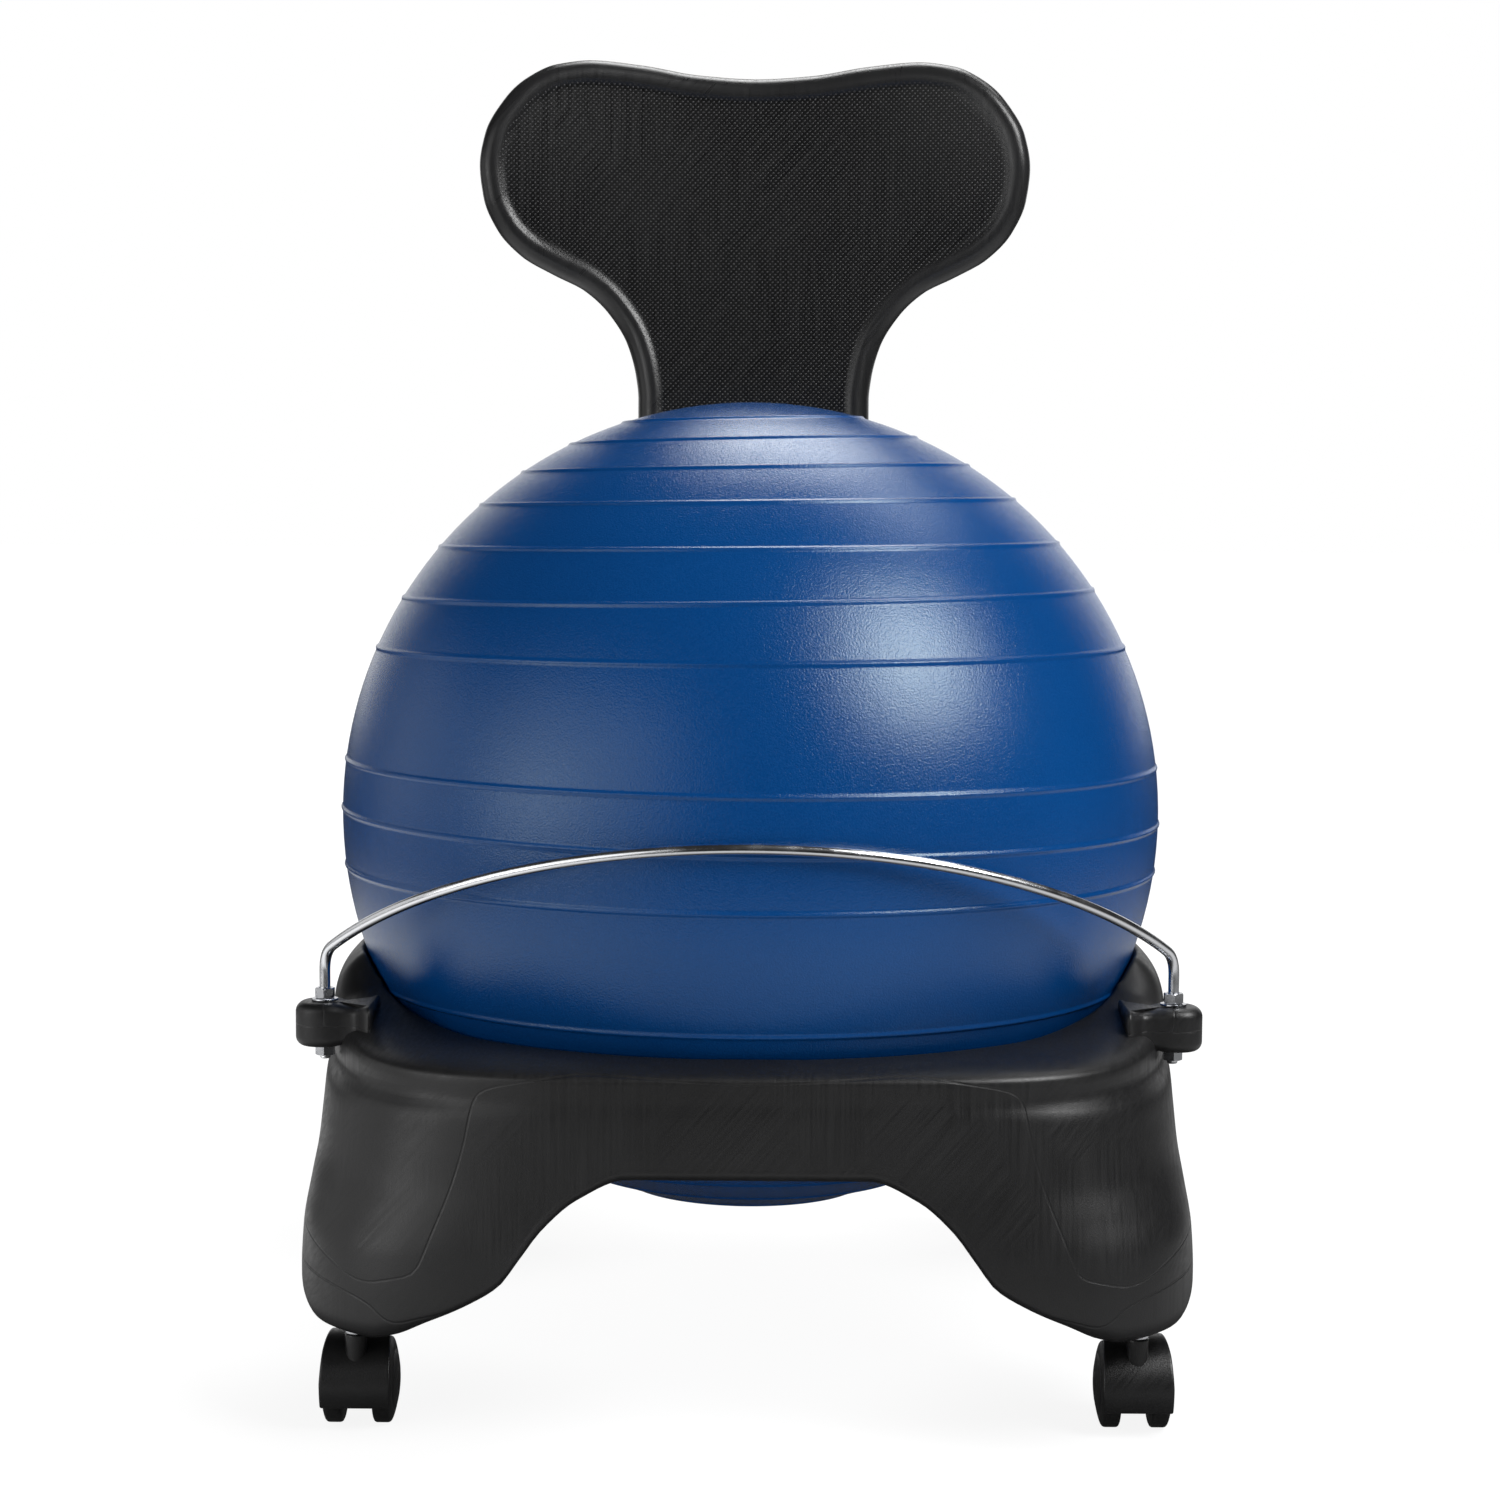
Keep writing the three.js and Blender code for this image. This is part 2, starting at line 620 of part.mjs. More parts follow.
function makeBolt() {
  const length = pocketBackY + fitGap + boltWasherHeight + fitGap - (insertBackY - insertLength / 2);
  const edge = boltHeadHeight / 4;
  const top = length + boltHeadHeight;
  const profile = [[0, 0], [boltRadius, 0], [boltRadius, length], [boltHeadRadius, length],
    [boltHeadRadius, top - edge], [boltHeadRadius - edge, top], [boltSocketRadius, top],
    [boltSocketRadius, top - boltSocketDepth], [0, top - boltSocketDepth]];
  return turned(profile, holeSides).rotateX(-Math.PI / 2);
}

// Retaining bar: upright at both ears, then a bend into an arc that leans forward to the ball
const barFrontY = -(ballRadius + ridgeHeight + barBallGap + barRadius);
const barLowZ = earLowZ - fitGap - nutHeight - barEndBelowNut;

function barRoute() {
  const forward = earY - barFrontY;
  const rise = barFrontZ - barBendZ;
  const sagitta = Math.hypot(forward, rise);
  const arcRadius = (earX ** 2 + sagitta ** 2) / (2 * sagitta);
  const halfAngle = Math.asin(earX / arcRadius);
  const onArc = (angle) => {
    const along = arcRadius * Math.cos(angle) - (arcRadius - sagitta);
    const x = arcRadius * Math.sin(angle);
    return new THREE.Vector3(x, earY - (along * forward) / sagitta, barBendZ + (along * rise) / sagitta);
  };
  const bendAngle = barBendRadius / arcRadius;
  const corner = onArc(halfAngle);
  const arcStart = onArc(halfAngle - bendAngle);
  const uprightEnd = new THREE.Vector3(earX, earY, barBendZ - barBendRadius);
  const half = [new THREE.Vector3(earX, earY, barLowZ), uprightEnd];
  for (const t of [0.25, 0.5, 0.75]) {
    const bend = new THREE.QuadraticBezierCurve3(uprightEnd, corner, arcStart);
    half.push(bend.getPoint(t));
  }
  const steps = 12;
  for (let step = 0; step < steps; step += 1) half.push(onArc((halfAngle - bendAngle) * (1 - step / steps)));
  const mirrored = half.map((point) => new THREE.Vector3(-point.x, point.y, point.z)).reverse();
  return [...half, onArc(0), ...mirrored];
}

function makeBar() {
  return tubeAlong(barRoute(), barRadius, barSides);
}

// A closed round tube that follows points, each ring square to the route
function tubeAlong(route, radius, sides) {
  const across = new THREE.Vector3(0, 1, 0);
  const rings = route.map((point, i) => {
    const ahead = route[Math.min(i + 1, route.length - 1)];
    const behind = route[Math.max(i - 1, 0)];
    const direction = ahead.clone().sub(behind).normalize();
    across.sub(direction.clone().multiplyScalar(across.dot(direction))).normalize();
    const other = direction.clone().cross(across);
    return Array.from({ length: sides }, (unused, side) => {
      const angle = (2 * Math.PI * side) / sides;
      const spoke = across.clone().multiplyScalar(radius * Math.cos(angle));
      return point.clone().add(spoke).addScaledVector(other, radius * Math.sin(angle)).toArray();
    });
  });
  return ringBody(rings, route[0].toArray(), route.at(-1).toArray());
}

function makeNut() {
  const bore = barRadius + fitGap;
  const outer = new THREE.Shape();
  for (let corner = 0; corner < 6; corner += 1) {
    const angle = (Math.PI / 3) * corner;
    const point = [nutCorner * Math.cos(angle), nutCorner * Math.sin(angle)];
    if (corner === 0) outer.moveTo(...point);
    else outer.lineTo(...point);
  }
  outer.closePath();
  const hole = new THREE.Path();
  hole.absarc(0, 0, bore, 0, 2 * Math.PI, true);
  outer.holes.push(hole);
  return new THREE.ExtrudeGeometry(outer, { depth: nutHeight, curveSegments: 7, bevelEnabled: false });
}

// Caster pieces, in a frame with the stem's axis at the origin and the axle behind it
const axleY = casterTrail;
const axleZ = wheelRadius;

function makeStem() {
  const topZ = socketTopZ - stemBelowSocketTop;
  const point = stemRadius / 3;
  return turned([[0, hoodTopZ - stemDrop], [stemLowRadius, hoodTopZ - stemDrop], [stemLowRadius, collarZ],
    [collarRadius, collarZ], [collarRadius, collarZ + collarHeight], [stemRadius, collarZ + collarHeight],
    [stemRadius, topZ - point], [stemRadius - point, topZ], [0, topZ]], holeSides);
}

function makeSocket() {
  const bore = stemRadius + runGap;
  const flangeTopZ = flangeZ + socketFlangeHeight;
  return turned([[bore, flangeZ], [socketFlangeRadius, flangeZ], [socketFlangeRadius, flangeTopZ],
    [socketRadius, flangeTopZ], [socketRadius, socketTopZ], [bore, socketTopZ], [bore, flangeZ]], holeSides);
}

function bandOutline(innerRadius, outerRadius, fromAngle, toAngle, steps) {
  const arc = (radius, step) => {
    const angle = radians(THREE.MathUtils.lerp(fromAngle, toAngle, step / steps));
    return [axleY - radius * Math.cos(angle), axleZ + radius * Math.sin(angle)];
  };
  const count = Array.from({ length: steps + 1 }, (unused, step) => step);
  const outer = count.map((step) => arc(outerRadius, step));
  return [...outer, ...count.reverse().map((step) => arc(innerRadius, step))];
}

// An outline in the Y-Z plane carried along X, centred on the caster's middle plane
function acrossX(outline, halfWidth) {
  const geometry = plate(outline, 2 * halfWidth).translate(0, 0, -halfWidth);
  geometry.applyMatrix4(new THREE.Matrix4().makeBasis(
    new THREE.Vector3(0, 1, 0), new THREE.Vector3(0, 0, 1), new THREE.Vector3(1, 0, 0)));
  return solid(geometry);
}

const bandSteps = 9;
const hoodInner = wheelRadius / Math.cos(Math.PI / wheelSides) + hoodGap;
const hoodOuter = hoodInner + hoodThick;
const leverPinDistance = hoodOuter + leverPinRadius + leverThick / 2;

function leverPin() {
  const angle = radians(leverAngle);
  return [axleY - leverPinDistance * Math.cos(angle), axleZ + leverPinDistance * Math.sin(angle)];
}

function makeHood(withBrake) {
  const highAngle = withBrake ? leverAngle : hoodHighAngle;
  const [pinY, pinZ] = leverPin();
  const acrossAt = (radius, half, y, z) => (
    solid(rod(radius, -half, half, holeSides).rotateY(Math.PI / 2).translate(0, y, z)));
  let core = acrossX(bandOutline(webRadius / 2, hoodOuter, hoodLowAngle, highAngle, bandSteps), webHalfWidth);
  core = core.add(acrossAt(webRadius, webHalfWidth, axleY, axleZ));
  core = core.add(solid(rod(stemBossRadius, stemBossLowZ, hoodTopZ, holeSides)));
  const cheekRadius = leverPinRadius + leverCheek;
  const cheekHalf = leverPinOut + leverCheek;
  if (withBrake) core = core.add(acrossAt(cheekRadius, cheekHalf, pinY, pinZ));
  for (const side of [-1, 1]) {
    const clear = rod(hoodInner, webHalfWidth, hoodHalfWidth + overrun, wheelSides);
    core = core.subtract(solid(clear.rotateY((side * Math.PI) / 2).translate(0, axleY, axleZ)));
  }
  const band = bandOutline(hoodInner, hoodOuter, hoodLowAngle, highAngle, bandSteps);
  let hood = core.add(acrossX(band, hoodHalfWidth));
  if (withBrake) {
    hood = hood.subtract(acrossAt(cheekRadius + fitGap, leverHalfWidth + fitGap, pinY, pinZ));
    hood = hood.subtract(acrossAt(leverPinRadius + fitGap, leverPinOut + fitGap, pinY, pinZ));
  }
  const stemEndZ = hoodTopZ - stemDrop - fitGap;
  hood = hood.subtract(solid(rod(stemLowRadius + runGap, stemEndZ, hoodTopZ + overrun, holeSides)));
  return meshOf(hood.subtract(acrossAt(axleRadius + runGap, hoodHalfWidth, axleY, axleZ)));
}

function makeLever() {
  const [pinY, pinZ] = leverPin();
  const turn = Math.PI / 2 - radians(leverAngle);
  const half = leverThick / 2;
  const tab = [[0, -half], [leverReach, -half], [leverReach, half], [0, half]];
  const turnedTab = tab.map(([along, up]) => [pinY + along * Math.cos(turn) - up * Math.sin(turn),
    pinZ + along * Math.sin(turn) + up * Math.cos(turn)]);
  const eye = rod(leverPinRadius + half, -leverHalfWidth, leverHalfWidth, holeSides).rotateY(Math.PI / 2);
  const pin = rod(leverPinRadius, -leverPinOut, leverPinOut, holeSides).rotateY(Math.PI / 2);
  return meshOf(acrossX(turnedTab, leverHalfWidth).add(solid(eye.translate(0, pinY, pinZ)))
    .add(solid(pin.translate(0, pinY, pinZ))));
}

function makeAxle() {
  const edge = axleRadius / 4;
  const end = axleHalfLength;
  const half = [[axleRadius, end - edge], [axleRadius - edge, end], [0, end]];
  const otherHalf = half.map(([radius, along]) => [radius, -along]).reverse();
  return turned([...otherHalf, ...half], holeSides).rotateY(Math.PI / 2);
}

// Wheel: domed outside, with a blind bore for the axle. One facet of the tread faces straight down.
function makeWheel(side) {
  const rim = wheelRadius / Math.cos(Math.PI / wheelSides);
  const tread = wheelInnerX + treadWidth;
  const bore = axleRadius + runGap;
  const boreEnd = axleHalfLength + fitGap;
  const corner = rim - wheelDome;
  const profile = [[bore, wheelInnerX], [corner, wheelInnerX], [rim, wheelInnerX + wheelDome / 2],
    [rim, tread - wheelDome], [corner, tread], [rim / 2, tread + wheelDome * domeShare],
    [0, tread + wheelDome], [0, boreEnd], [bore, boreEnd], [bore, wheelInnerX]];
  const wheel = turned(profile, wheelSides).rotateZ(Math.PI / wheelSides).rotateY(Math.PI / 2);
  return side > 0 ? wheel : wheel.rotateZ(Math.PI);
}

place('base_frame', makeBase(), materials.base);
place('ball', makeBall(), materials.ball);
place('ball_plug', makePlug(), materials.plug);
place('backrest', makeBackrest(), materials.backrest);
place('retaining_bar', makeBar(), materials.chrome);

const barBore = barRadius + fitGap;
const boltWasherY = pocketBackY + fitGap;
for (const [word, side] of [['left', -1], ['right', 1]]) {
  const washerZ = earHighZ + fitGap;
  const topNutZ = washerZ + barWasherHeight + fitGap;
  place(`bar_washer_${word}`, ring(barBore, barWasherRadius, barWasherHeight, holeSides), materials.zinc,
    side * earX, earY, washerZ);
  place(`bar_nut_upper_${word}`, makeNut(), materials.zinc, side * earX, earY, topNutZ);
  place(`bar_nut_lower_${word}`, makeNut(), materials.zinc, side * earX, earY, earLowZ - fitGap - nutHeight);
  place(`backrest_insert_${word}`, makeInsert(), materials.brass, side * boltX, insertBackY, boltZ);
  const boltWasher = ring(boltRadius + fitGap, boltWasherRadius, boltWasherHeight, holeSides);
  place(`backrest_washer_${word}`, boltWasher.rotateX(-Math.PI / 2), materials.zinc,
    side * boltX, boltWasherY, boltZ);
  place(`backrest_bolt_${word}`, makeBolt(), materials.zinc,
    side * boltX, insertBackY - insertLength / 2, boltZ);
}

for (const [word, sideX, sideY] of casterPlaces) {
  const x = sideX * casterX;
  const y = sideY * casterY;
  const withBrake = sideY > 0;
  place(`caster_socket_${word}`, makeSocket(), materials.socket, x, y, 0);
  place(`caster_stem_${word}`, makeStem(), materials.zinc, x, y, 0);
  place(`caster_hood_${word}`, makeHood(withBrake), materials.casterPlastic, x, y, 0);
  place(`caster_axle_${word}`, makeAxle(), materials.zinc, x, y + axleY, axleZ);
  for (const [hand, side] of [['left', -1], ['right', 1]]) {
    place(`caster_wheel_${word}_${hand}`, makeWheel(side), materials.wheel, x, y + axleY, axleZ);
  }
  if (withBrake) place(`brake_lever_${word}`, makeLever(), materials.casterPlastic, x, y, 0);
}

// The origin is on the floor, under the middle of the chair's length and width
const bounds = new THREE.Box3().setFromObject(chair);
chair.position.y = -(bounds.min.y + bounds.max.y) / 2;

export default chair;
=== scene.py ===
import math

import bpy
import numpy as np
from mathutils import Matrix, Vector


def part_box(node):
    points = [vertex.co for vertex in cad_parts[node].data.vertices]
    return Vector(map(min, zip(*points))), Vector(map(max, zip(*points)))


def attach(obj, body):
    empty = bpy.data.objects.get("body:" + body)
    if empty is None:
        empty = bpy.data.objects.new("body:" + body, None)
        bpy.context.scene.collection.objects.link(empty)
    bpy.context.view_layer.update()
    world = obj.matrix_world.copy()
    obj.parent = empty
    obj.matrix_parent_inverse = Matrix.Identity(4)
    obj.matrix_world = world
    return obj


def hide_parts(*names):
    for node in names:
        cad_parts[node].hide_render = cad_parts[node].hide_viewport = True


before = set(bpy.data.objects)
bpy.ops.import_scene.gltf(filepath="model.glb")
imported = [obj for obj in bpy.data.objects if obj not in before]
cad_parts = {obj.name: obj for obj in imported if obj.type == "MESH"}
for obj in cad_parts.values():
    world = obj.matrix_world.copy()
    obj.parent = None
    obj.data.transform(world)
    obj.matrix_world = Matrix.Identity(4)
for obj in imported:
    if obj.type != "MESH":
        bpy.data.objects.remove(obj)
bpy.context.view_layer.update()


# Camera: it stands where the photograph was taken from, almost two metres in front of the ball,
# higher than the ball's middle, and it looks slightly down and leans a little to its left.
ball_low, ball_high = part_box("ball")
ball_radius, ring_height = 0.260, 0.0012
ball_z = ball_high.z - ball_radius
ball_middle = ball_low.lerp(ball_high, 0.5)
ball_middle.z = ball_z
camera_away, camera_over_ball, camera_aside = 1.916, 0.199, -0.0006
camera_turn, camera_pitch, camera_roll = (math.radians(angle) for angle in (0.077, 4.8, 0.36))
camera = bpy.data.objects.new("photo_camera", bpy.data.cameras.new("photo_camera"))
camera.data.sensor_width, camera.data.lens = 36.0, 71.8
camera.rotation_euler = (math.pi / 2 - camera_pitch, 0.0, camera_turn)
camera.rotation_euler.rotate_axis("Z", camera_roll)
camera.location = (camera_away * math.sin(camera_turn) + camera_aside,
                   ball_middle.y - camera_away * math.cos(camera_turn), ball_z + camera_over_ball)
bpy.context.scene.collection.objects.link(camera)
bpy.context.scene.camera = camera
bpy.context.scene.view_settings.view_transform = "Standard"


# Studio: a white sweep of floor and a white backdrop. One softbox stands in front on the right, two
# hang high behind the object, three stand low on the left, and the rest of the room is dark.
def add_node(tree, kind, inputs=None, **settings):
    """A new shader node of that kind. settings are its own properties. inputs gives each socket, by
    name or number, its value, the socket that feeds it, or the node whose first output does."""
    made = tree.nodes.new("ShaderNode" + kind)
    for word, value in settings.items():
        setattr(made, word, value)
    for socket, value in (inputs or {}).items():
        if isinstance(value, bpy.types.Node):
            value = value.outputs[0]
        if isinstance(value, bpy.types.NodeSocket):
            tree.links.new(value, made.inputs[socket])
        else:
            made.inputs[socket].default_value = value
    return made


def maths(tree, operation, *values, kind="Math", **settings):
    """A node that puts those values through one operation, as numbers or as vectors."""
    return add_node(tree, kind, dict(enumerate(values)), operation=operation, **settings)


def remap(tree, value, start, end, low, high, eased=False):
    """low up to where value is start, high from where it is end, and low + (high - low) t between,
    where t is the share of the way, or 3t2 - 2t3 if it is eased."""
    return add_node(tree, "MapRange", {"Value": value, "From Min": start, "From Max": end,
                    "To Min": low, "To Max": high},
                    interpolation_type="SMOOTHSTEP" if eased else "LINEAR")


def emptied_tree(owner):
    """The node tree of a world or of a material, with nothing in it."""
    owner.use_nodes = True
    owner.node_tree.nodes.clear()
    return owner.node_tree


room_tone, room_on_matt = 0.02, 0.30
room = bpy.data.worlds.new("studio")
bpy.context.scene.world = room
tree = emptied_tree(room)
ray = add_node(tree, "LightPath").outputs
way = add_node(tree, "SeparateXYZ", {0: add_node(tree, "TexCoord").outputs["Generated"]}).outputs
backdrop = maths(tree, "MULTIPLY", remap(tree, way["Y"], 0.72, 0.90, 0.0, 1.0, True),
                 remap(tree, way["Z"], 0.34, 0.60, 1.0, 0.0, True))
backdrop = maths(tree, "MAXIMUM", backdrop, room_tone)
softened = add_node(tree, "Mix", {0: ray["Is Diffuse Ray"], 2: backdrop, 3: room_on_matt})
strength = maths(tree, "MAXIMUM", softened, ray["Is Camera Ray"])
light = add_node(tree, "Background", {"Color": (1, 1, 1, 1), "Strength": strength})
add_node(tree, "OutputWorld", {"Surface": light})


def softbox(name, azimuth, elevation, away, wide, tall, glow, turn=0.0):
    """A rectangular lamp that faces the ball. azimuth counts in degrees from the front to the
    right, and glow is how bright its face is."""
    lamp = bpy.data.lights.new(name, "AREA")
    lamp.shape, lamp.size, lamp.size_y = "RECTANGLE", wide, tall
    lamp.energy = glow * math.pi * wide * tall
    holder = bpy.data.objects.new(name, lamp)
    azimuth, elevation = math.radians(azimuth), math.radians(elevation)
    holder.rotation_euler = (math.pi / 2 - elevation, 0.0, azimuth)
    holder.rotation_euler.rotate_axis("Z", math.radians(turn))
    flat = away * math.cos(elevation)
    holder.location = (flat * math.sin(azimuth), ball_middle.y - flat * math.cos(azimuth),
                       ball_z + away * math.sin(elevation))
    holder.visible_camera = False
    bpy.context.scene.collection.objects.link(holder)


softbox("softbox_right", 54, 40, 2.4, 1.1, 1.3, 13.5, -18)
softbox("softbox_overhead", 171, 58, 2.3, 0.95, 0.9, 7.0)
softbox("softbox_corner", 123, 59, 2.3, 0.60, 0.55, 4.5)
softbox("softbox_left", -48, 13, 2.2, 2.1, 1.5, 1.2)
softbox("softbox_left_core", -58, 3, 2.15, 0.9, 0.6, 1.7)
softbox("softbox_side", -99, 8, 2.2, 1.7, 1.2, 0.6)

floor_half, caster_spot, bounce_tone = 30, (0.227, 0.235, 0.0), 0.78
sweep = bpy.data.meshes.new("floor")
sweep.from_pydata([(x * floor_half, y * floor_half, 0) for x, y in ((-1, -1), (1, -1), (1, 1), (-1, 1))],
                  [], [(0, 1, 2, 3)])
floor = bpy.data.objects.new("floor", sweep)
bpy.context.scene.collection.objects.link(floor)
white = bpy.data.materials.new("white_floor")
tree = emptied_tree(white)
ray = add_node(tree, "LightPath").outputs
spot = add_node(tree, "TexCoord").outputs["Object"]
place = add_node(tree, "SeparateXYZ", {0: spot}).outputs
mottle = add_node(tree, "TexNoise", {"Vector": spot, "Scale": 3.0, "Detail": 2.0})
shade = add_node(tree, "BsdfDiffuse", {"Color": remap(tree, mottle, 0.0, 1.0, 0.11, 0.13)})
apart = maths(tree, "LENGTH", spot, kind="VectorMath").outputs["Value"]
folded = maths(tree, "ABSOLUTE", spot, kind="VectorMath")
from_caster = maths(tree, "DISTANCE", folded, caster_spot, kind="VectorMath").outputs["Value"]
# Painted shadow: the floor's glow seen by the camera is dimmed from 0.95 to 0.89 within 0.20 m of each
# caster, and it grows by up to 0.06 farther than 0.6 m from the middle.
bright = maths(tree, "ADD", remap(tree, from_caster, 0.05, 0.20, 0.89, 0.95, True),
               remap(tree, apart, 0.6, 2.0, 0.0, 0.06, True))
glow = add_node(tree, "Emission", {"Color": (1, 1, 1, 1), "Strength": bright})
shown = add_node(tree, "AddShader", {0: shade, 1: glow})
# Painted reflection: glossy rays see the floor as an emission, not as the lit floor. This painted light
# fades with distance from the middle and towards the front. It carries a painted shadow within 0.30 to
# 0.62 m of the middle and a painted pool of light, up to 1.6 times brighter, on the left.
pale = remap(tree, apart, 0.7, 2.1, 0.62, 0.04, True)
for way, *range_and_tones in ((place["Y"], -1.25, -0.95, 0.03, 1.0), (apart, 0.30, 0.62, 0.08, 1.0),
                              (place["X"], -0.6, -0.1, 1.6, 1.0)):
    pale = maths(tree, "MULTIPLY", pale, remap(tree, way, *range_and_tones, True))
painted_floor_reflection = add_node(tree, "Emission", {"Color": (1, 1, 1, 1), "Strength": pale})
bounce = add_node(tree, "BsdfDiffuse", {"Color": (bounce_tone, bounce_tone, bounce_tone, 1)})
others = add_node(tree, "MixShader", {0: ray["Is Glossy Ray"], 1: bounce, 2: painted_floor_reflection})
both = add_node(tree, "MixShader", {0: ray["Is Camera Ray"], 1: others, 2: shown})
add_node(tree, "OutputMaterial", {"Surface": both})
sweep.materials.append(white)


# Base: one hollow blow-moulded body of black polyethylene, with a round seat for the ball and four
# legs with an arch between each two. The mould halves leave a fine line along its front edge.
half_rim, half_foot = 0.263, 0.2675
square_side, square_front, square_foot = 2.3, 4.4, 6.3
foot_z, foot_round, arch_round = 0.0626, 0.012, 0.005
flare_low, flare_high = ball_z - 0.235, ball_z - 0.139
front_rim_z, side_rim_z, front_drop, side_drop = ball_z - 0.119, ball_z - 0.081, 0.009, 0.034
rim_reach, seat_radius, seat_hole, lip = 0.029, 0.2615, 0.190, 0.0035
arch_rise, arch_half = 0.0965, 0.200
bevel, bevel_power = 1.79, 18
flare = np.array([[-1, 0], [-0.2, 0], [0.06, 0.12], [0.29, 0.44], [0.49, 0.68], [0.72, 0.8],
                  [0.9, 0.88], [1, 1], [3, 1]])
rim_rise = np.array([[-1.1, 0], [-0.87, 0], [-0.56, 0.18], [-0.38, 0.42], [-0.24, 0.94], [-0.1, 1],
                     [1.3, 1]])
arch_form = np.array([[0, 1], [0.34, 1], [0.48, 0.88], [0.58, 0.7], [0.645, 0.52], [0.7, 0.37],
                      [0.78, 0.265], [0.9, 0.145], [1, 0.04], [1.08, 0], [1.5, 0]])


def smooth_through(points, at):
    """A curve through points that never overshoots. Between two of them it eases from one height
    to the next, and its slope at each is the harmonic mean of the slopes on either side."""
    x, y = points[:, 0], points[:, 1]
    slope = np.diff(y) / np.diff(x)
    before, after = slope[:-1], slope[1:]
    total = np.where(before + after == 0, 1, before + after)
    tangent = np.concatenate([[0], np.where(before * after > 0, 2 * before * after / total, 0), [0]])
    at = np.clip(at, x[0], x[-1])
    i = np.clip(np.searchsorted(x, at) - 1, 0, len(x) - 2)
    span = x[i + 1] - x[i]
    t = (at - x[i]) / span
    return (y[i] + t * t * (3 - 2 * t) * (y[i + 1] - y[i])
            + span * t * (1 - t) * ((1 - t) * tangent[i] - t * tangent[i + 1]))


def ease(value, low, high):
    """0 below low, 1 above high, and 3t2 - 2t3 between them."""
    t = np.clip((value - low) / (high - low), 0, 1)
    return t * t * (3 - 2 * t)


def plan_radius(angle, z):
    """Distance from the ball's axis to the outside wall: a superellipse, half / (|cos|^p +
    |sin|^p)^(1/p), whose half-width and power p change from the feet up to the rim. Low down its
    corners are bevelled by a third term, ((|cos| + |sin|) / bevel)^q."""
    up = smooth_through(flare, (z - flare_low) / (flare_high - flare_low))
    cos, sin = np.abs(np.cos(angle)), np.abs(np.sin(angle))
    top = square_side + (square_front - square_side) * sin ** 2
    power = square_foot + (top - square_foot) * up
    plain = (cos ** power + sin ** power) ** (-1 / power)
    foot = (cos ** square_foot + sin ** square_foot) ** (-1 / square_foot)
    bevelled = (cos ** bevel_power + sin ** bevel_power
                + ((cos + sin) / bevel) ** bevel_power) ** (-1 / bevel_power)
    return (half_foot + (half_rim - half_foot) * up) * plain * (1 + (bevelled / foot - 1) * (1 - up))


def underside(x, y):
    """Height of the underside: the higher of the two arches that cross below the ball."""
    across = np.minimum(np.abs(x), np.abs(y)) / arch_half
    return foot_z + arch_rise * smooth_through(arch_form, across)


def grid_faces(rows, columns, loop_rows=False, loop_columns=False):
    """Quads over a grid of points kept row by row. A looped direction joins its end to its start."""
    row, column = (at.ravel() for at in np.meshgrid(
        np.arange(rows - (not loop_rows)), np.arange(columns - (not loop_columns)), indexing="ij"))
    next_row, next_column = (row + 1) % rows, (column + 1) % columns
    return np.stack([row * columns + column, row * columns + next_column,
                     next_row * columns + next_column, next_row * columns + column], axis=1)


def skin(rows, loop_rows=False):
    """A closed surface from rings of points: their places and the faces, as quads and triangles.
    Unless the rings loop, the first and the last are each drawn together into one point."""
    count, columns = rows.shape[:2]
    points = np.array(rows, float).reshape(-1, 3)
    quads = grid_faces(count, columns, loop_rows, True)
    if loop_rows:
        return points, [quads]
    points[0], points[-1] = rows[0].mean(axis=0), rows[-1].mean(axis=0)
    last_row = len(points) - columns
    quads = np.where(quads < columns, 0, np.where(quads >= last_row, len(points) - 1, quads))
    first, last = quads[:columns][:, [0, 2, 3]], quads[-columns:][:, [0, 1, 2]]
    kept = np.concatenate([[0], np.arange(columns, last_row), [len(points) - 1]])
    renumber = np.zeros(len(points), int)
    renumber[kept] = np.arange(len(kept))
    return points[kept], [renumber[quads[columns:-columns]], renumber[first], renumber[last]]


def facing_out(points, faces):
    """The same faces, all turned over if the closed surface holds a negative volume."""
    volume = 0.0
    for group in faces:
        first = points[group[:, 0]]
        for corner in range(1, group.shape[1] - 1):
            volume += np.sum(first * np.cross(points[group[:, corner]], points[group[:, corner + 1]]))
    return faces if volume > 0 else [group[:, ::-1] for group in faces]


def piece(name, surfaces, material, body, stands_for=(), marks=None, sharp=None):
    """One smooth-shaded object from closed surfaces, riding on a body. marks are attributes that
    its material reads, one number a point; sharp is the angle from which its edges stay crisp."""
    places, faces, start = [], [], 0
    for points, groups in surfaces:
        places.append(points)
        for group in facing_out(points, groups):
            faces += (group + start).tolist()
        start += len(points)
    mesh = bpy.data.meshes.new(name)
    mesh.from_pydata(np.concatenate(places), [], faces)
    mesh.polygons.foreach_set("use_smooth", np.ones(len(mesh.polygons), bool))
    if sharp:
        mesh.set_sharp_from_angle(angle=math.radians(sharp))
    for mark, values in (marks or {}).items():
        mesh.attributes.new(mark, "FLOAT", "POINT").data.foreach_set("value", np.ravel(values))
    mesh.materials.append(material)
    made = bpy.data.objects.new(name, mesh)
    bpy.context.scene.collection.objects.link(made)
    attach(made, body)
    for node in stands_for:
        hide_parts(node)
    return made


def corner_curve(before, corner, after, steps):
    """A parabola that leaves one line before a corner and joins the other after it:
    (1-t)^2 before + 2t(1-t) corner + t^2 after, one row for each t."""
    t = np.linspace(0, 1, steps)[:, None]
    return [(1 - t) ** 2 * a + 2 * t * (1 - t) * b + t * t * c
            for a, b, c in zip(before, corner, after)]


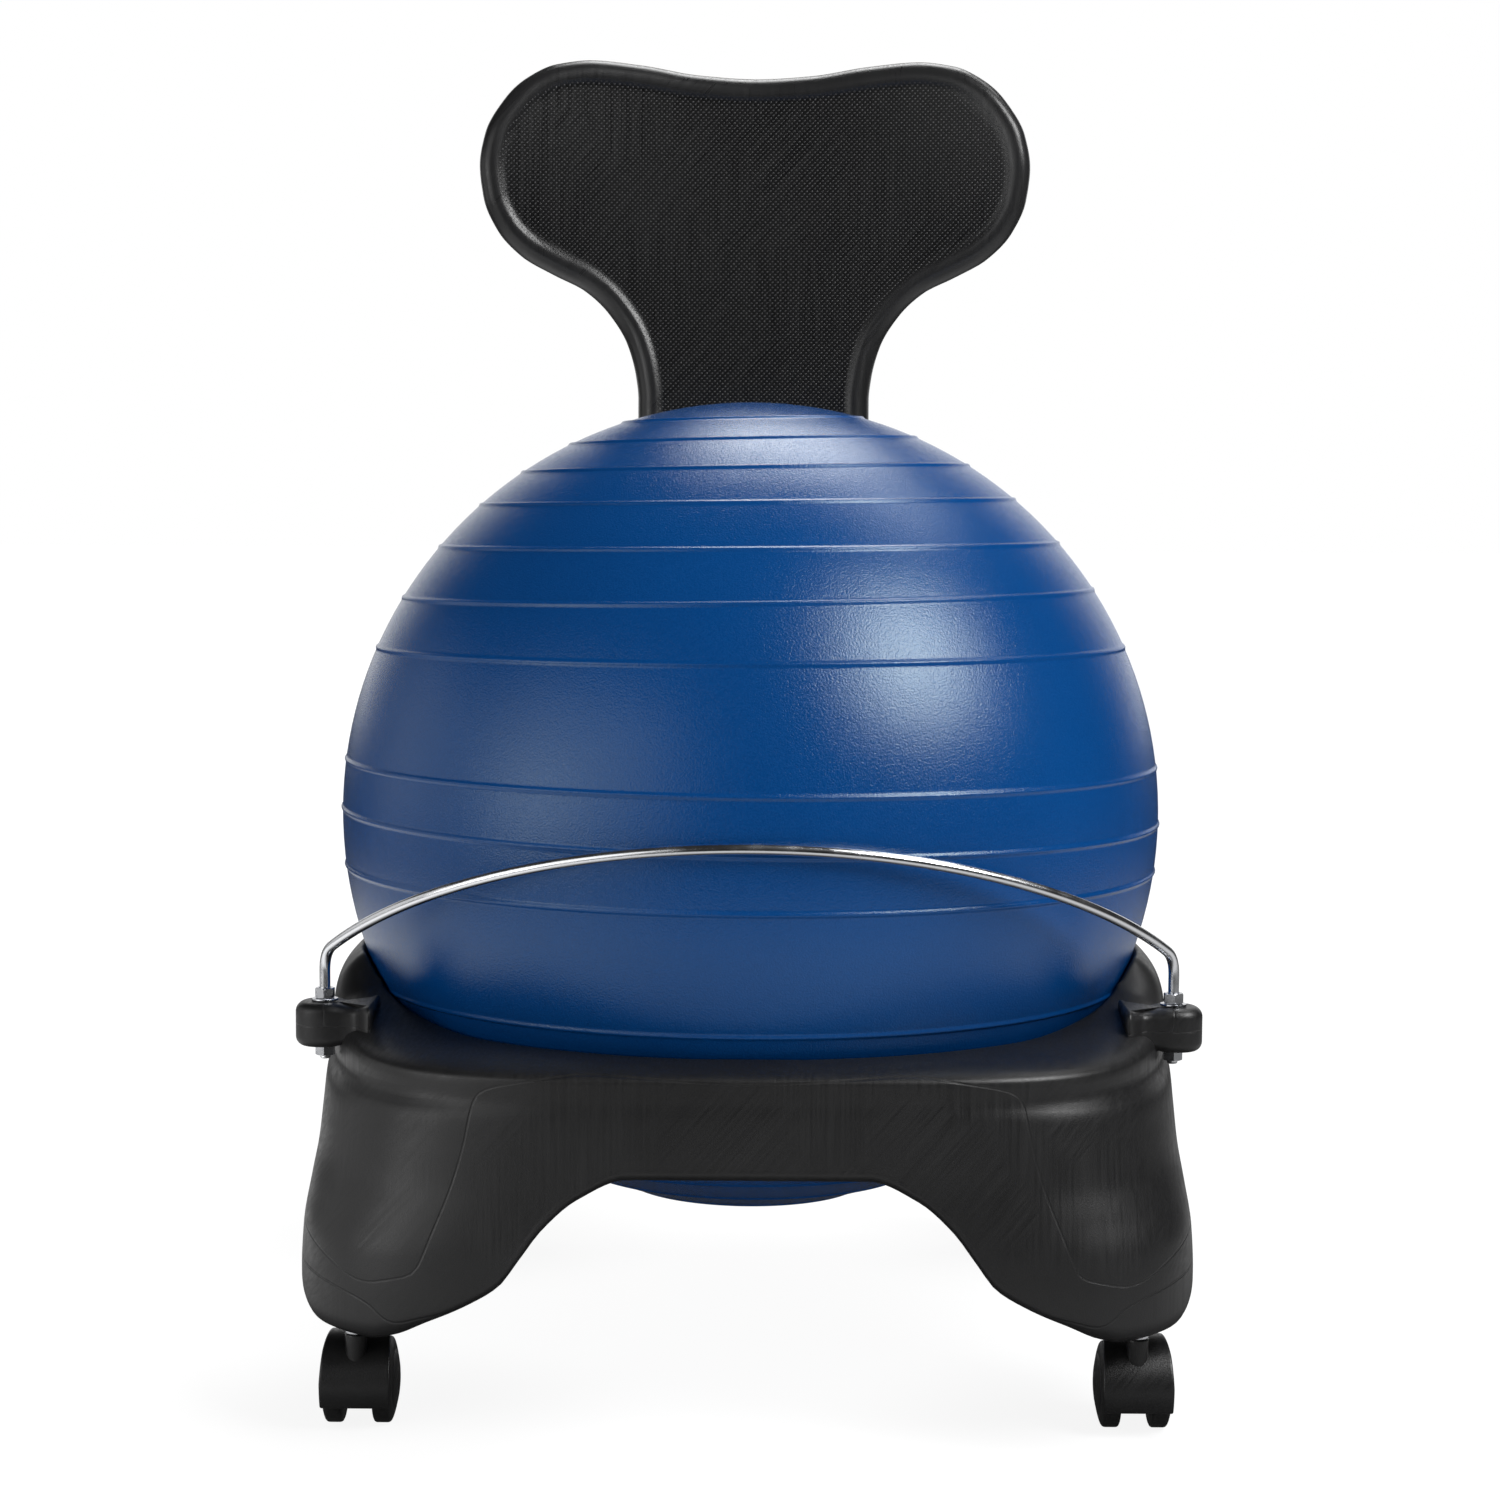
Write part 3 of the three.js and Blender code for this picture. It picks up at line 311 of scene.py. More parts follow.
def base_profile(angle):
    """Radius and height of the base's skin at each angle, as rows of one closed loop: round the
    lower edge, up the wall, over the rim, down the seat and back along the underside."""
    def under_at(radius):
        return underside(radius * np.cos(angle), radius * np.sin(angle))

    low = np.full_like(angle, foot_z)
    for _ in range(60):
        low = 0.6 * low + 0.4 * under_at(plan_radius(angle, low))
    rounding = arch_round + (foot_round - arch_round) * ease(foot_z + 0.02 - low, 0, 0.02)
    turn = np.linspace(0, math.pi / 2, 9)[:, None]
    wall_low = plan_radius(angle, low)
    edge_r = wall_low - rounding * (1 - np.sin(turn))
    edge_z = under_at(edge_r) + rounding * (1 - np.cos(turn))

    rise = smooth_through(rim_rise, plan_radius(angle, flare_high) * np.sin(angle) / half_rim)
    rim_z = front_rim_z + (side_rim_z - front_rim_z) * rise
    drop = front_drop + (side_drop - front_drop) * rise
    wall_z = edge_z[-1] + (rim_z - drop - edge_z[-1]) * np.linspace(0, 1, 40)[1:, None]
    wall_r = plan_radius(angle, wall_z)

    top = plan_radius(angle, rim_z)
    seat_at = np.sqrt(seat_radius ** 2 - (ball_z - rim_z) ** 2)
    low_turn, high_turn = np.zeros_like(angle), np.full_like(angle, math.pi / 2)
    for _ in range(40):
        middle = (low_turn + high_turn) / 2
        z = rim_z - drop * (1 - np.sin(middle))
        outside = top - rim_reach * (1 - np.cos(middle)) > np.sqrt(seat_radius ** 2 - (ball_z - z) ** 2)
        low_turn, high_turn = np.where(outside, middle, low_turn), np.where(outside, high_turn, middle)
    end = low_turn
    has_shelf = end > math.pi / 2 - 1e-3
    stop = np.where(has_shelf, math.pi / 2, end - np.minimum(0.09, end * 0.2))
    shelf = np.maximum(top - rim_reach - seat_at - lip, 0) * has_shelf
    curve_long = stop * (rim_reach + drop) / 2
    along = np.linspace(0, 1, 22)[1:, None] * (curve_long + shelf)
    on_curve = np.minimum(along / curve_long, 1) * stop
    rim_r = top - rim_reach * (1 - np.cos(on_curve)) - np.maximum(along - curve_long, 0)
    rim_line = rim_z - drop * (1 - np.sin(on_curve))

    corner_z = rim_z - drop * (1 - np.sin(end))
    corner_r = np.sqrt(seat_radius ** 2 - (ball_z - corner_z) ** 2)
    seat_turn = np.arcsin((corner_z - ball_z) / seat_radius)
    low_seat_turn = -math.acos(seat_hole / seat_radius)
    after_turn = seat_turn - lip / seat_radius * 2
    after = (seat_radius * np.cos(after_turn), ball_z + seat_radius * np.sin(after_turn))
    lip_r, lip_z = corner_curve((rim_r[-1], rim_line[-1]), (corner_r, corner_z), after, 8)
    bowl_turn = after_turn + (low_seat_turn + 0.006 - after_turn) * np.linspace(0, 1, 26)[1:, None]
    bowl_r = seat_radius * np.cos(bowl_turn)
    bowl_z = ball_z + seat_radius * np.sin(bowl_turn)

    hole_low = under_at(seat_hole)
    soft = np.minimum(0.003, (bowl_z[-1] - hole_low) / 2)
    hole_r, hole_z = corner_curve((bowl_r[-1], bowl_z[-1]), (seat_hole, bowl_z[-1] - 0.0004),
                                  (np.full_like(angle, seat_hole), bowl_z[-1] - 0.0008), 3)
    wall_in_z = hole_z[-1] + (hole_low + soft - hole_z[-1]) * np.linspace(0, 1, 5)[1:, None]
    wall_in_r = np.full_like(wall_in_z, seat_hole)
    inner_turn = np.linspace(0, math.pi / 2, 5)[1:, None]
    inner_r = seat_hole + soft * (1 - np.cos(inner_turn))
    inner_z = under_at(inner_r) + soft * (1 - np.sin(inner_turn))
    floor_r = inner_r[-1] + (edge_r[0] - inner_r[-1]) * np.linspace(0, 1, 26)[1:-1, None]
    floor_z = under_at(floor_r)
    radii = [edge_r, wall_r, rim_r, lip_r[1:], bowl_r, hole_r[1:], wall_in_r, inner_r, floor_r]
    heights = [edge_z, wall_z, rim_line, lip_z[1:], bowl_z, hole_z[1:], wall_in_z, inner_z, floor_z]
    return np.concatenate(radii), np.concatenate(heights)


base_angle = np.arange(480) * (2 * math.pi / 480)
base_r, base_z = base_profile(base_angle)
base_x, base_y = base_r * np.cos(base_angle), base_r * np.sin(base_angle)
base_points = np.stack([base_x, base_y + ball_middle.y, base_z], axis=-1)
base_surface = skin(base_points, True)


def line_distance(x, z, line):
    """Distance in a flat picture from each point (x, z) to a line through points: on its stretch
    from a to b the nearest point is at the share ((p - a) . (b - a)) / |b - a|^2, held in 0 to 1."""
    nearest = np.full(np.shape(x), 1.0)
    for (x0, z0), (x1, z1) in zip(line[:-1], line[1:]):
        run_x, run_z = x1 - x0, z1 - z0
        share = ((x - x0) * run_x + (z - z0) * run_z) / max(run_x ** 2 + run_z ** 2, 1e-12)
        share = np.clip(share, 0, 1)
        nearest = np.minimum(nearest, np.hypot(x - x0 - share * run_x, z - z0 - share * run_z))
    return nearest


def seam_line(points):
    """A mould's line across one half of the front, through points that were measured with the ball
    335 mm up. Twice, each corner is cut at a quarter and at three quarters of its stretches."""
    line = np.array(points) + (0, ball_z - 0.335)
    for _ in range(2):
        cut = np.stack([0.75 * line[:-1] + 0.25 * line[1:], 0.25 * line[:-1] + 0.75 * line[1:]], axis=1)
        line = np.concatenate([line[:1], cut.reshape(-1, 2), line[-1:]])
    return line


def line_offset(line):
    """Distance of the base's points to a line that runs outwards, taken as negative below it."""
    x = np.abs(base_x)
    above = base_z > np.interp(x, line[:, 0], line[:, 1])
    return line_distance(x, base_z, line) * np.where(above, 1, -1)


seam_far = 0.05
from_mould_line = line_offset(seam_line([
    [0.0, 0.2068], [0.028, 0.2078], [0.06, 0.2098], [0.088, 0.2115], [0.10, 0.2110], [0.135, 0.2056],
    [0.149, 0.2020], [0.1545, 0.1970], [0.1575, 0.1850], [0.1605, 0.1686], [0.168, 0.1436],
    [0.178, 0.1202], [0.186, 0.1000], [0.191, 0.0960], [0.1986, 0.0940], [0.2206, 0.0885],
    [0.2443, 0.1008], [0.30, 0.130]]))
from_foot_line = line_offset(seam_line([
    [0.0, 0.110], [0.150, 0.0800], [0.1848, 0.0722], [0.1986, 0.0676], [0.2068, 0.0705],
    [0.216, 0.0791], [0.241, 0.0856], [0.30, 0.095]]))
front_seam = np.where(np.abs(from_mould_line) < np.abs(from_foot_line), from_mould_line, -from_foot_line)
base_seam = np.where(base_y < -0.1, front_seam, seam_far)


def new_finish(name):
    """A new material, its node tree and its Object coordinates."""
    made = bpy.data.materials.new(name)
    made.use_nodes = True
    return made, made.node_tree, add_node(made.node_tree, "TexCoord").outputs["Object"]


def noise(tree, place, scale, detail, roughness=0.5):
    """A cloudy pattern between 0 and 1."""
    return add_node(tree, "TexNoise", {"Vector": place, "Scale": scale, "Detail": detail,
                    "Roughness": roughness})


def blend(tree, share, under, over):
    """The colour that goes from under, a colour or a socket, to the colour over."""
    under = under if isinstance(under, bpy.types.NodeSocket) else (*under, 1)
    return add_node(tree, "Mix", {0: share, 6: under, 7: (*over, 1)}, data_type="RGBA").outputs[2]


def dressed(made, colour, worn, smooth, dull, height, strength, depth):
    """The material with its colour, a roughness from smooth to dull where worn goes from 0.3 to
    0.7, and a height in its bump."""
    tree = made.node_tree
    bump = add_node(tree, "Bump", {"Height": height, "Strength": strength, "Distance": depth})
    for socket, value in (("Base Color", colour), ("Normal", bump.outputs[0]),
                          ("Roughness", remap(tree, worn, 0.3, 0.7, smooth, dull).outputs[0])):
        tree.links.new(value, tree.nodes["Principled BSDF"].inputs[socket])
    return made


def moulded_plastic(name, dark, light, rough, grain, streaks, seam):
    """Black moulded plastic: its colour drifts between two greys, rubbed marks run across it in two
    directions, a fine grain and the mould's line stand in its bump."""
    made, tree, place = new_finish(name)
    drift, patch = noise(tree, place, 9.0, 4.0), noise(tree, place, 16.0, 1.0)
    lines = []
    for tilt, long_way, fine in ((-48, 9.0, 620.0), (90, 14.0, 520.0)):
        tilted = add_node(tree, "Mapping", {"Vector": place, "Rotation": (0.0, math.radians(tilt), 0.0),
                          "Scale": (1 / long_way, 5 / fine, 1 / fine)}, vector_type="TEXTURE")
        lines.append(noise(tree, tilted, 1.0, 3.0, 0.65))
    which = remap(tree, patch, 0.45, 0.55, 0.0, 1.0)
    rubbed = add_node(tree, "Mix", {0: which, 2: lines[0], 3: lines[1]})
    strength = remap(tree, drift, 0.42, 0.68, 0.0, streaks)
    tone = maths(tree, "MULTIPLY", remap(tree, rubbed, 0.35, 0.75, 0.0, 1.0), strength)
    tone = maths(tree, "ADD", drift, tone, use_clamp=True)
    seam_at = add_node(tree, "Attribute", attribute_name="seam").outputs["Fac"]
    seam_depth = remap(tree, maths(tree, "ABSOLUTE", seam_at), 0.0002, 0.0009, seam, 0.0)
    pebble = maths(tree, "MULTIPLY", noise(tree, place, 1100.0, 2.0), grain)
    scratch = maths(tree, "MULTIPLY", rubbed, strength)
    height = maths(tree, "MULTIPLY_ADD", scratch, 0.35, pebble)
    height = maths(tree, "SUBTRACT", height, seam_depth)
    return dressed(made, blend(tree, tone, dark, light), rubbed, rough - 0.07, rough + 0.08,
                   height, 0.5, 0.0004)


base_plastic = moulded_plastic("base_plastic", (0.0048, 0.0048, 0.0051), (0.0108, 0.0108, 0.0113),
                               0.42, 0.35, 1.0, 1.2)
piece("base_body", [base_surface], base_plastic, "frame", ["base_frame"],
      {"seam": base_seam})


# Ears: two tongues moulded with the base that carry the bar's ends. Each is a soft block that
# narrows where it grows out of the shoulder, with the mould's line half-way up.
ear_x, ear_y, ear_low, ear_high = 0.25446, ball_middle.y - 0.14006, ball_z - 0.1288, ball_z - 0.1025
tip_half, tongue, ear_soft, tip_power = 0.0173, 0.030, 0.0056, 0.85
for side, word in ((-1, "left"), (1, "right")):
    turn = np.linspace(-math.pi / 2, math.pi / 2, 33)
    tip = np.stack([np.cos(turn), np.sin(turn)], axis=1)
    tip = tip_half * np.sign(tip) * np.abs(tip) ** tip_power
    back = np.linspace(0, 1, 21)[1:]
    narrow = tip_half - 0.0022 * np.sin(math.pi * back) ** 2 + 0.009 * ease(back, 0.62, 1.0)
    low_side = np.stack([-tongue * back[::-1], -narrow[::-1]], axis=1)
    high_side = np.stack([-tongue * back, narrow], axis=1)
    outline = np.concatenate([low_side, tip, high_side])
    middle = np.stack([np.clip(outline[:, 0], -0.026, 0.0), np.zeros(len(outline))], axis=1)
    inward = middle - outline
    inward /= np.linalg.norm(inward, axis=1, keepdims=True)
    thin = 1 - 0.17 * ease(-outline[:, 0], 0.004, 0.018) + 0.16 * ease(-outline[:, 0], 0.020, tongue)
    half, turn = (ear_high - ear_low) / 2, np.linspace(0, math.pi / 2, 9)
    draw = np.concatenate([[0.0125, 0.009], ear_soft * (1 - np.sin(turn)), [0.0, 0.0, 0.0],
                           ear_soft * (1 - np.cos(turn)), [0.009, 0.0125]])
    up = np.concatenate([[-half, -half], -half + ear_soft * (1 - np.cos(turn)), [-0.0045, 0.0, 0.0045],
                         half - ear_soft * (1 - np.sin(turn)), [half, half]])
    rows = outline + inward * draw[:, None, None]
    points, faces = skin(np.concatenate([rows, (up[:, None] * thin)[:, :, None]], axis=2))
    x, y, z = points.T
    seam = np.minimum(np.abs(z + 0.0006 * np.sin(x * 300)),
                      np.where((y < -0.008) & (z > -0.001), np.abs(x + 0.001), 1))
    points = points * (side, 1, 1) + (side * ear_x, ear_y, (ear_low + ear_high) / 2)
    piece(f"base_ear_{word}", [(points, faces)], base_plastic, "frame", ["base_frame"],
          {"seam": seam})


# Pocket: a deep socket moulded on the back of the base. The backrest's neck drops into it and two
# bolts hold it. Shallow ribs stiffen its back wall.
neck_half, neck_thick = 0.084, 0.034
neck_y = ball_middle.y + ball_radius + ring_height + 0.0008 + neck_thick / 2
pocket_half, pocket_back = neck_half + 0.0153, neck_y + neck_thick / 2 + 0.0143
pocket_low, pocket_high, pocket_corner = foot_z + arch_rise, ball_z - 0.049, 0.016
rib_step, rib_deep = 0.033, 0.0016


def pocket_outline(z, grow, sunk):
    """The pocket's plan at a height: its front follows the ball's seat, sqrt(seat radius at that
    height squared - x squared) + sunk, its back is straight with round corners. grow moves it out."""
    x = np.linspace(pocket_half + grow, -pocket_half - grow, 34)
    reach = np.sqrt(seat_radius ** 2 - (ball_z - z) ** 2)
    front = np.stack([x, ball_middle.y + np.sqrt(reach ** 2 - x ** 2) - grow + sunk], axis=1)
    turn = np.linspace(math.pi / 2, 0, 10)
    corner_x, corner_y = pocket_half - pocket_corner, pocket_back - pocket_corner
    left = np.stack([-corner_x - (pocket_corner + grow) * np.sin(turn),
                     corner_y + (pocket_corner + grow) * np.cos(turn)], axis=1)
    right = (left * (-1, 1))[::-1]
    back_x = np.linspace(-corner_x, corner_x, 62)[1:-1]
    back = np.stack([back_x, np.full_like(back_x, pocket_back + grow)], axis=1)
    sides = np.linspace(0, 1, 8)[1:-1, None]
    left_side = front[-1] + (left[0] - front[-1]) * sides
    right_side = right[-1] + (front[0] - right[-1]) * sides
    return np.concatenate([front, left_side, left, back, right, right_side])


def no_seam_on(surfaces):
    """The mark of a piece whose parting line isn't seen: one far distance for every point."""
    return {"seam": np.full(sum(len(points) for points, _ in surfaces), seam_far)}


foot_soft, top_soft, turn = 0.006, 0.007, np.linspace(0, math.pi / 2, 8)
levels = [(pocket_low, -2 * foot_soft)]
levels += [(pocket_low + foot_soft * (1 - math.cos(a)), -foot_soft * (1 - math.sin(a))) for a in turn]
levels += [(z, 0.0) for z in np.linspace(pocket_low + foot_soft, pocket_high - top_soft, 40)[1:]]
levels += [(pocket_high - top_soft * (1 - math.sin(a)), -top_soft * (1 - math.cos(a))) for a in turn[1:]]
pocket = []
for z, grow in levels:
    sunk = 0.004 * (1 - float(ease(z, side_rim_z - 0.014, side_rim_z - 0.001)))
    outline = pocket_outline(z, grow, sunk)
    pocket.append(np.column_stack([outline, np.full(len(outline), z)]))
pocket = np.array(pocket)
rib = ease(np.cos(pocket[:, :, 0] * (2 * math.pi / rib_step)), 0.35, 0.75)
rib = rib * (pocket[:, :, 1] > pocket_back - 0.004)
rib = rib * ease(pocket[:, :, 2], 0.174, 0.182) * (1 - ease(pocket[:, :, 2], 0.217, 0.223))
pocket[:, :, 1] -= rib_deep * rib * (np.abs(pocket[:, :, 0]) < 0.082)
mouth = []
core_half = neck_half - neck_thick / 2
core = np.column_stack([np.clip(pocket[-1, :, 0], -core_half, core_half),
                        np.full(pocket.shape[1], neck_y)])
outwards = pocket[-1, :, :2] - core
outwards /= np.linalg.norm(outwards, axis=1, keepdims=True)
for gap, down in ((0.0026, 0.0), (0.0017, 0.0003), (0.0012, 0.0011), (0.0010, 0.0022), (0.0010, 0.016)):
    ring = core + outwards * (neck_thick / 2 + gap)
    mouth.append(np.column_stack([ring, np.full(len(ring), pocket_high - down)]))
surfaces = [skin(np.concatenate([pocket, np.array(mouth)]))]
piece("base_pocket", surfaces, base_plastic, "frame", ["base_frame"],
      no_seam_on(surfaces))


# Ball: an air-filled ball of soft blue vinyl, blown in a mould, with raised rings of latitude for
# grip. It has turned a little in its seat, so the rings lean. A plug closes the valve underneath.
ring_half, ring_share, underside_rise, ball_columns = 0.0024, 0.8, 0.0078, 288
rings_up = np.array([0, 7.3, 24.1, 32.5, 40.9, 49.3, 57, 65, 73])
ring_at = np.radians(np.concatenate([-rings_up[:0:-1], rings_up]))
ring_lean = np.radians([-0.6, -0.6, -0.5, -0.4, -0.2, -0.1, 0.0, -0.19, -0.89, -0.31, 0.34, 1.0, 0.67,
                        0.92, 1.24, 1.5, 1.5])
close = np.array([0.2, 0.45, 0.7, 0.95, 1.25, 1.7])
close = np.concatenate([-close[::-1], [0], close]) * ring_half / ball_radius
between = np.radians(np.arange(-86, 88.1, 2.0))
between = between[np.abs(between[:, None] - ring_at).min(axis=1) > 0.019]
row_at = np.sort(np.concatenate([(ring_at[:, None] + close).ravel(), between]))
away = np.minimum(np.abs(row_at[:, None] - ring_at).min(axis=1) * ball_radius / ring_half, 1)
raised = ring_share * ring_height * (0.5 + 0.5 * np.cos(math.pi * away))
column_at = np.arange(ball_columns) * (2 * math.pi / ball_columns)
latitude = row_at[:, None] + np.interp(row_at, ring_at, ring_lean)[:, None] * np.cos(column_at)
reach = (ball_radius + raised)[:, None]
flat = reach * np.cos(latitude)
body = np.stack([flat * np.cos(column_at), flat * np.sin(column_at), reach * np.sin(latitude)], axis=-1)
valve = [(0.0, 0.014), (0.0049, 0.014), (0.0049, 0.0011), (0.0053, 0.0004), (0.0062, 0.0001)]
valve = np.array([np.stack([r * np.cos(column_at), r * np.sin(column_at),
                            np.full(ball_columns, -math.sqrt(ball_radius ** 2 - r * r) + up)], axis=-1)
                  for r, up in valve])
rows = np.concatenate([valve, body, np.full((1, ball_columns, 3), (0.0, 0.0, ball_radius))])
seat_depth = math.sqrt(ball_radius ** 2 - seat_hole ** 2)
rows[..., 2] += underside_rise * ease(-rows[..., 2], seat_depth, ball_radius - underside_rise)


def soft_vinyl(name, deep, pale, rough):
    """Blue vinyl: two blues drift into each other, a fine grain speckles both the colour and the
    bump, so highlights break up softly."""
    made, tree, place = new_finish(name)
    tree.nodes["Principled BSDF"].inputs["Specular Tint"].default_value = (0.85, 1.0, 0.97, 1)
    speck = noise(tree, place, 900.0, 2.0, 0.6)
    mixed = maths(tree, "MULTIPLY_ADD", speck, 1.5, noise(tree, place, 6.0, 3.0))
    tone = remap(tree, mixed, 0.8, 1.7, 0.0, 1.0)
    return dressed(made, blend(tree, tone, deep, pale), speck, rough - 0.05, rough + 0.06,
                   speck, 0.65, 0.0004)


ball_vinyl = soft_vinyl("ball_vinyl", (0.0002, 0.036, 0.150), (0.0010, 0.050, 0.195), 0.20)
piece("ball_skin", [skin(rows + np.array(ball_middle))], ball_vinyl, "ball", ["ball"])


def turned(radius, height, centre, axis, columns=48, loop=False):
    """A body of revolution about x, y or z. radius and height give its profile row by row, as one
    number a row or one for each column, so that a row can also be a hexagon."""
    turn = np.arange(columns) * (2 * math.pi / columns)
    radius = np.broadcast_to(np.reshape(radius, (len(radius), -1)), (len(radius), columns))
    height = np.broadcast_to(np.reshape(height, (len(radius), -1)), radius.shape)
    rows = np.stack([radius * np.cos(turn), radius * np.sin(turn), height], axis=-1)
    rows = rows[..., {"x": (2, 0, 1), "y": (1, 2, 0), "z": (0, 1, 2)}[axis]]
    return skin(rows + np.array(centre), loop)


plug_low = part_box("ball_plug")[0]
plug_profile = np.array([[0, 0.9], [2.8, 0.9], [3.5, 0], [6.8, 0], [8.1, 0.4], [8.8, 1.1], [9, 1.6],
                         [5.2, 1.6], [4.7, 1.9], [4.7, 3.6], [4.4, 4], [4.4, 4.6], [4.7, 5], [4.7, 6.6],
                         [4.2, 9], [3.5, 10.6], [0, 10.6]]) / 1000
plug_vinyl = soft_vinyl("plug_vinyl", (0.30, 0.30, 0.29), (0.38, 0.38, 0.37), 0.42)
piece("plug", [turned(*plug_profile.T, (0, ball_middle.y, plug_low.z), "z")], plug_vinyl,
      "plug", ["ball_plug"])


# Backrest: one hollow blow-moulded panel of black polyethylene on a long neck. A smooth bead runs
# round its edge, the face inside it is sunk a little and carries a fine dotted grain.
neck_foot_z, shoulder_z, corner_z, panel_half = ball_z - 0.1723, ball_z + 0.271, ball_z + 0.501, 0.198
panel_thick, panel_lean, panel_wrap, lobe_rise, lobe_power = 0.026, 0.012, 0.030, 0.013, 8
dot_step = 0.00376
half_width = np.array([[-3, 0], [0, 0], [0.07, 0.015], [0.17, 0.07], [0.27, 0.195], [0.34, 0.35],
                       [0.385, 0.535], [0.44, 0.735], [0.52, 0.89], [0.62, 0.978], [0.72, 1],
                       [0.82, 0.965], [0.93, 0.84], [1, 0.69], [1.05, 0.41]])
top_rise = np.array([[0, 0.12], [0.25, 0.3], [0.5, 0.78], [0.72, 1], [0.88, 0.72], [1, 0], [1.1, -1.3]])


def backrest_plan(share_across, up):
    """Where a share of the half-width and a share of the height stand in the backrest's outline:
    x = across * half-width(z), and the top is lifted by its two lobes, lift * up^8."""
    z = neck_foot_z + (corner_z - neck_foot_z) * up
    wide = smooth_through(half_width, (z - shoulder_z) / (corner_z - shoulder_z))
    x = share_across * (neck_half + (panel_half - neck_half) * wide)
    return x, z + lobe_rise * smooth_through(top_rise, np.abs(share_across)) * up ** lobe_power


from_edge = np.array([0, 0.12, 0.5, 1.1, 1.9, 2.9, 4.1, 5.4, 6.8, 8.3, 9.8, 11.3, 12.8, 14.3, 15.8,
                      17.4, 19.2, 21.5, 24.5]) / 1000
edge_up = from_edge / 0.67
row_up = np.sort(np.concatenate([edge_up, np.linspace(edge_up[-1], 0.60, 48)[1:-1],
                                 np.linspace(0.60, 0.9635, 92), 1 - edge_up[:-1]]))
row_half = backrest_plan(1.0, row_up)[0][:, None]
middle_shares = np.linspace(-1, 1, 62)[1:-1] * (1 - from_edge[-1] / row_half)
across = np.concatenate([-1 + from_edge / row_half, middle_shares,
                         1 - from_edge[::-1] / row_half], axis=1)
panel_x, panel_z = backrest_plan(across, row_up[:, None])
side_up, top_across = np.linspace(0, 1, 260), np.linspace(1, -1, 120)[1:-1]
outline = np.stack(backrest_plan(np.concatenate([np.ones(260), top_across, -np.ones(260)]),
                                 np.concatenate([side_up, np.ones(118), side_up[::-1]])), axis=1)
edge = line_distance(panel_x, panel_z, np.concatenate([outline, outline[:1]]))
edge[0], edge[-1], edge[:, 0], edge[:, -1] = 0, 0, 0, 0
upwards = ease(panel_z, shoulder_z, corner_z)
out_of_pocket = ease(panel_z, pocket_high + 0.007, pocket_high + 0.037)
middle_y = neck_y + panel_lean * upwards - panel_wrap * upwards * (panel_x / panel_half) ** 2
half = (neck_thick + (panel_thick - neck_thick) * upwards) / 2
sunk = 0.0022 * ease(edge, 0.0125, 0.0185) * out_of_pocket
hollow_back = 0.0016 * ease(edge, 0.024, 0.034) * ease(panel_z, ball_z + 0.085, ball_z + 0.135)
front_round = half * np.sqrt(1 - (1 - np.minimum(edge / 0.0105, 1)) ** 2)
back_round = half * np.sqrt(1 - (1 - np.minimum(edge / half, 1)) ** 2)
front = np.stack([panel_x, middle_y - front_round + sunk, panel_z], axis=-1)
rear = np.stack([panel_x, middle_y + back_round - hollow_back, panel_z], axis=-1)[1:-1, 1:-1]
front_at = np.arange(panel_x.size).reshape(panel_x.shape)
rear_at = front_at.copy()
rear_at[1:-1, 1:-1] = panel_x.size + np.arange(rear[..., 0].size).reshape(rear.shape[:2])
quads = grid_faces(*panel_x.shape)
faces = np.concatenate([front_at.ravel()[quads], rear_at.ravel()[quads][:, ::-1]])
points = np.concatenate([front.reshape(-1, 3), rear.reshape(-1, 3)])
face_mark = (ease(edge, 0.0135, 0.0185) * out_of_pocket).ravel()
dotted = np.concatenate([face_mark, np.zeros(rear[..., 0].size)])
seam_mark = np.concatenate([np.where(edge < 0.001, 0.0, seam_far).ravel(),
                            np.full(rear[..., 0].size, seam_far)])


def dotted_plastic(name, ground, dot_highlight_tone, smooth_tones, rough):
    """Black plastic whose face carries small raised dots in staggered rows: the distance from the
    nearest point of two lattices, one shifted by half a step, makes their bump and their lighter
    colour, which is a painted highlight for the light that the raised dots catch."""
    made = moulded_plastic(name, *smooth_tones, rough, 0.30, 0.1, 1.2)
    tree = made.node_tree
    shader = tree.nodes["Principled BSDF"].inputs
    place = add_node(tree, "TexCoord").outputs["Object"]
    nearest = []
    for shift in (0.0, 0.5):
        scaled = add_node(tree, "Mapping", {"Vector": place, "Scale": (1 / dot_step, 0.0, 1 / dot_step),
                          "Location": (shift, 0.0, shift)})
        cell = maths(tree, "FRACTION", scaled, kind="VectorMath")
        centred = maths(tree, "SUBTRACT", cell, (0.5, 0.0, 0.5), kind="VectorMath")
        nearest.append(maths(tree, "LENGTH", centred, kind="VectorMath").outputs["Value"])
    dots = remap(tree, maths(tree, "MINIMUM", *nearest), 0.11, 0.21, 1.0, 0.0, True)
    on_face = add_node(tree, "Attribute", attribute_name="dotted").outputs["Fac"]
    shown = maths(tree, "MULTIPLY", dots, on_face)
    plain, first_bump = (shader[socket].links[0].from_socket for socket in ("Base Color", "Normal"))
    plain = blend(tree, maths(tree, "MULTIPLY", on_face, 0.85), plain, ground)
    tree.links.new(blend(tree, shown, plain, dot_highlight_tone), shader["Base Color"])
    bump = add_node(tree, "Bump", {"Height": shown, "Strength": 0.8, "Distance": 0.0003,
                    "Normal": first_bump})
    tree.links.new(bump.outputs[0], shader["Normal"])
    return made


# The second colour, 0.034, is the dots' tone: a painted highlight on the raised dots.
backrest_plastic = dotted_plastic("backrest_plastic", (0.0006, 0.0006, 0.0008), (0.034, 0.034, 0.035),
                                  ((0.0090, 0.0090, 0.0094), (0.0170, 0.0170, 0.0175)), 0.33)
piece("backrest_panel", [(points, [faces])], backrest_plastic, "frame", ["backrest"],
      {"dotted": dotted, "seam": seam_mark})


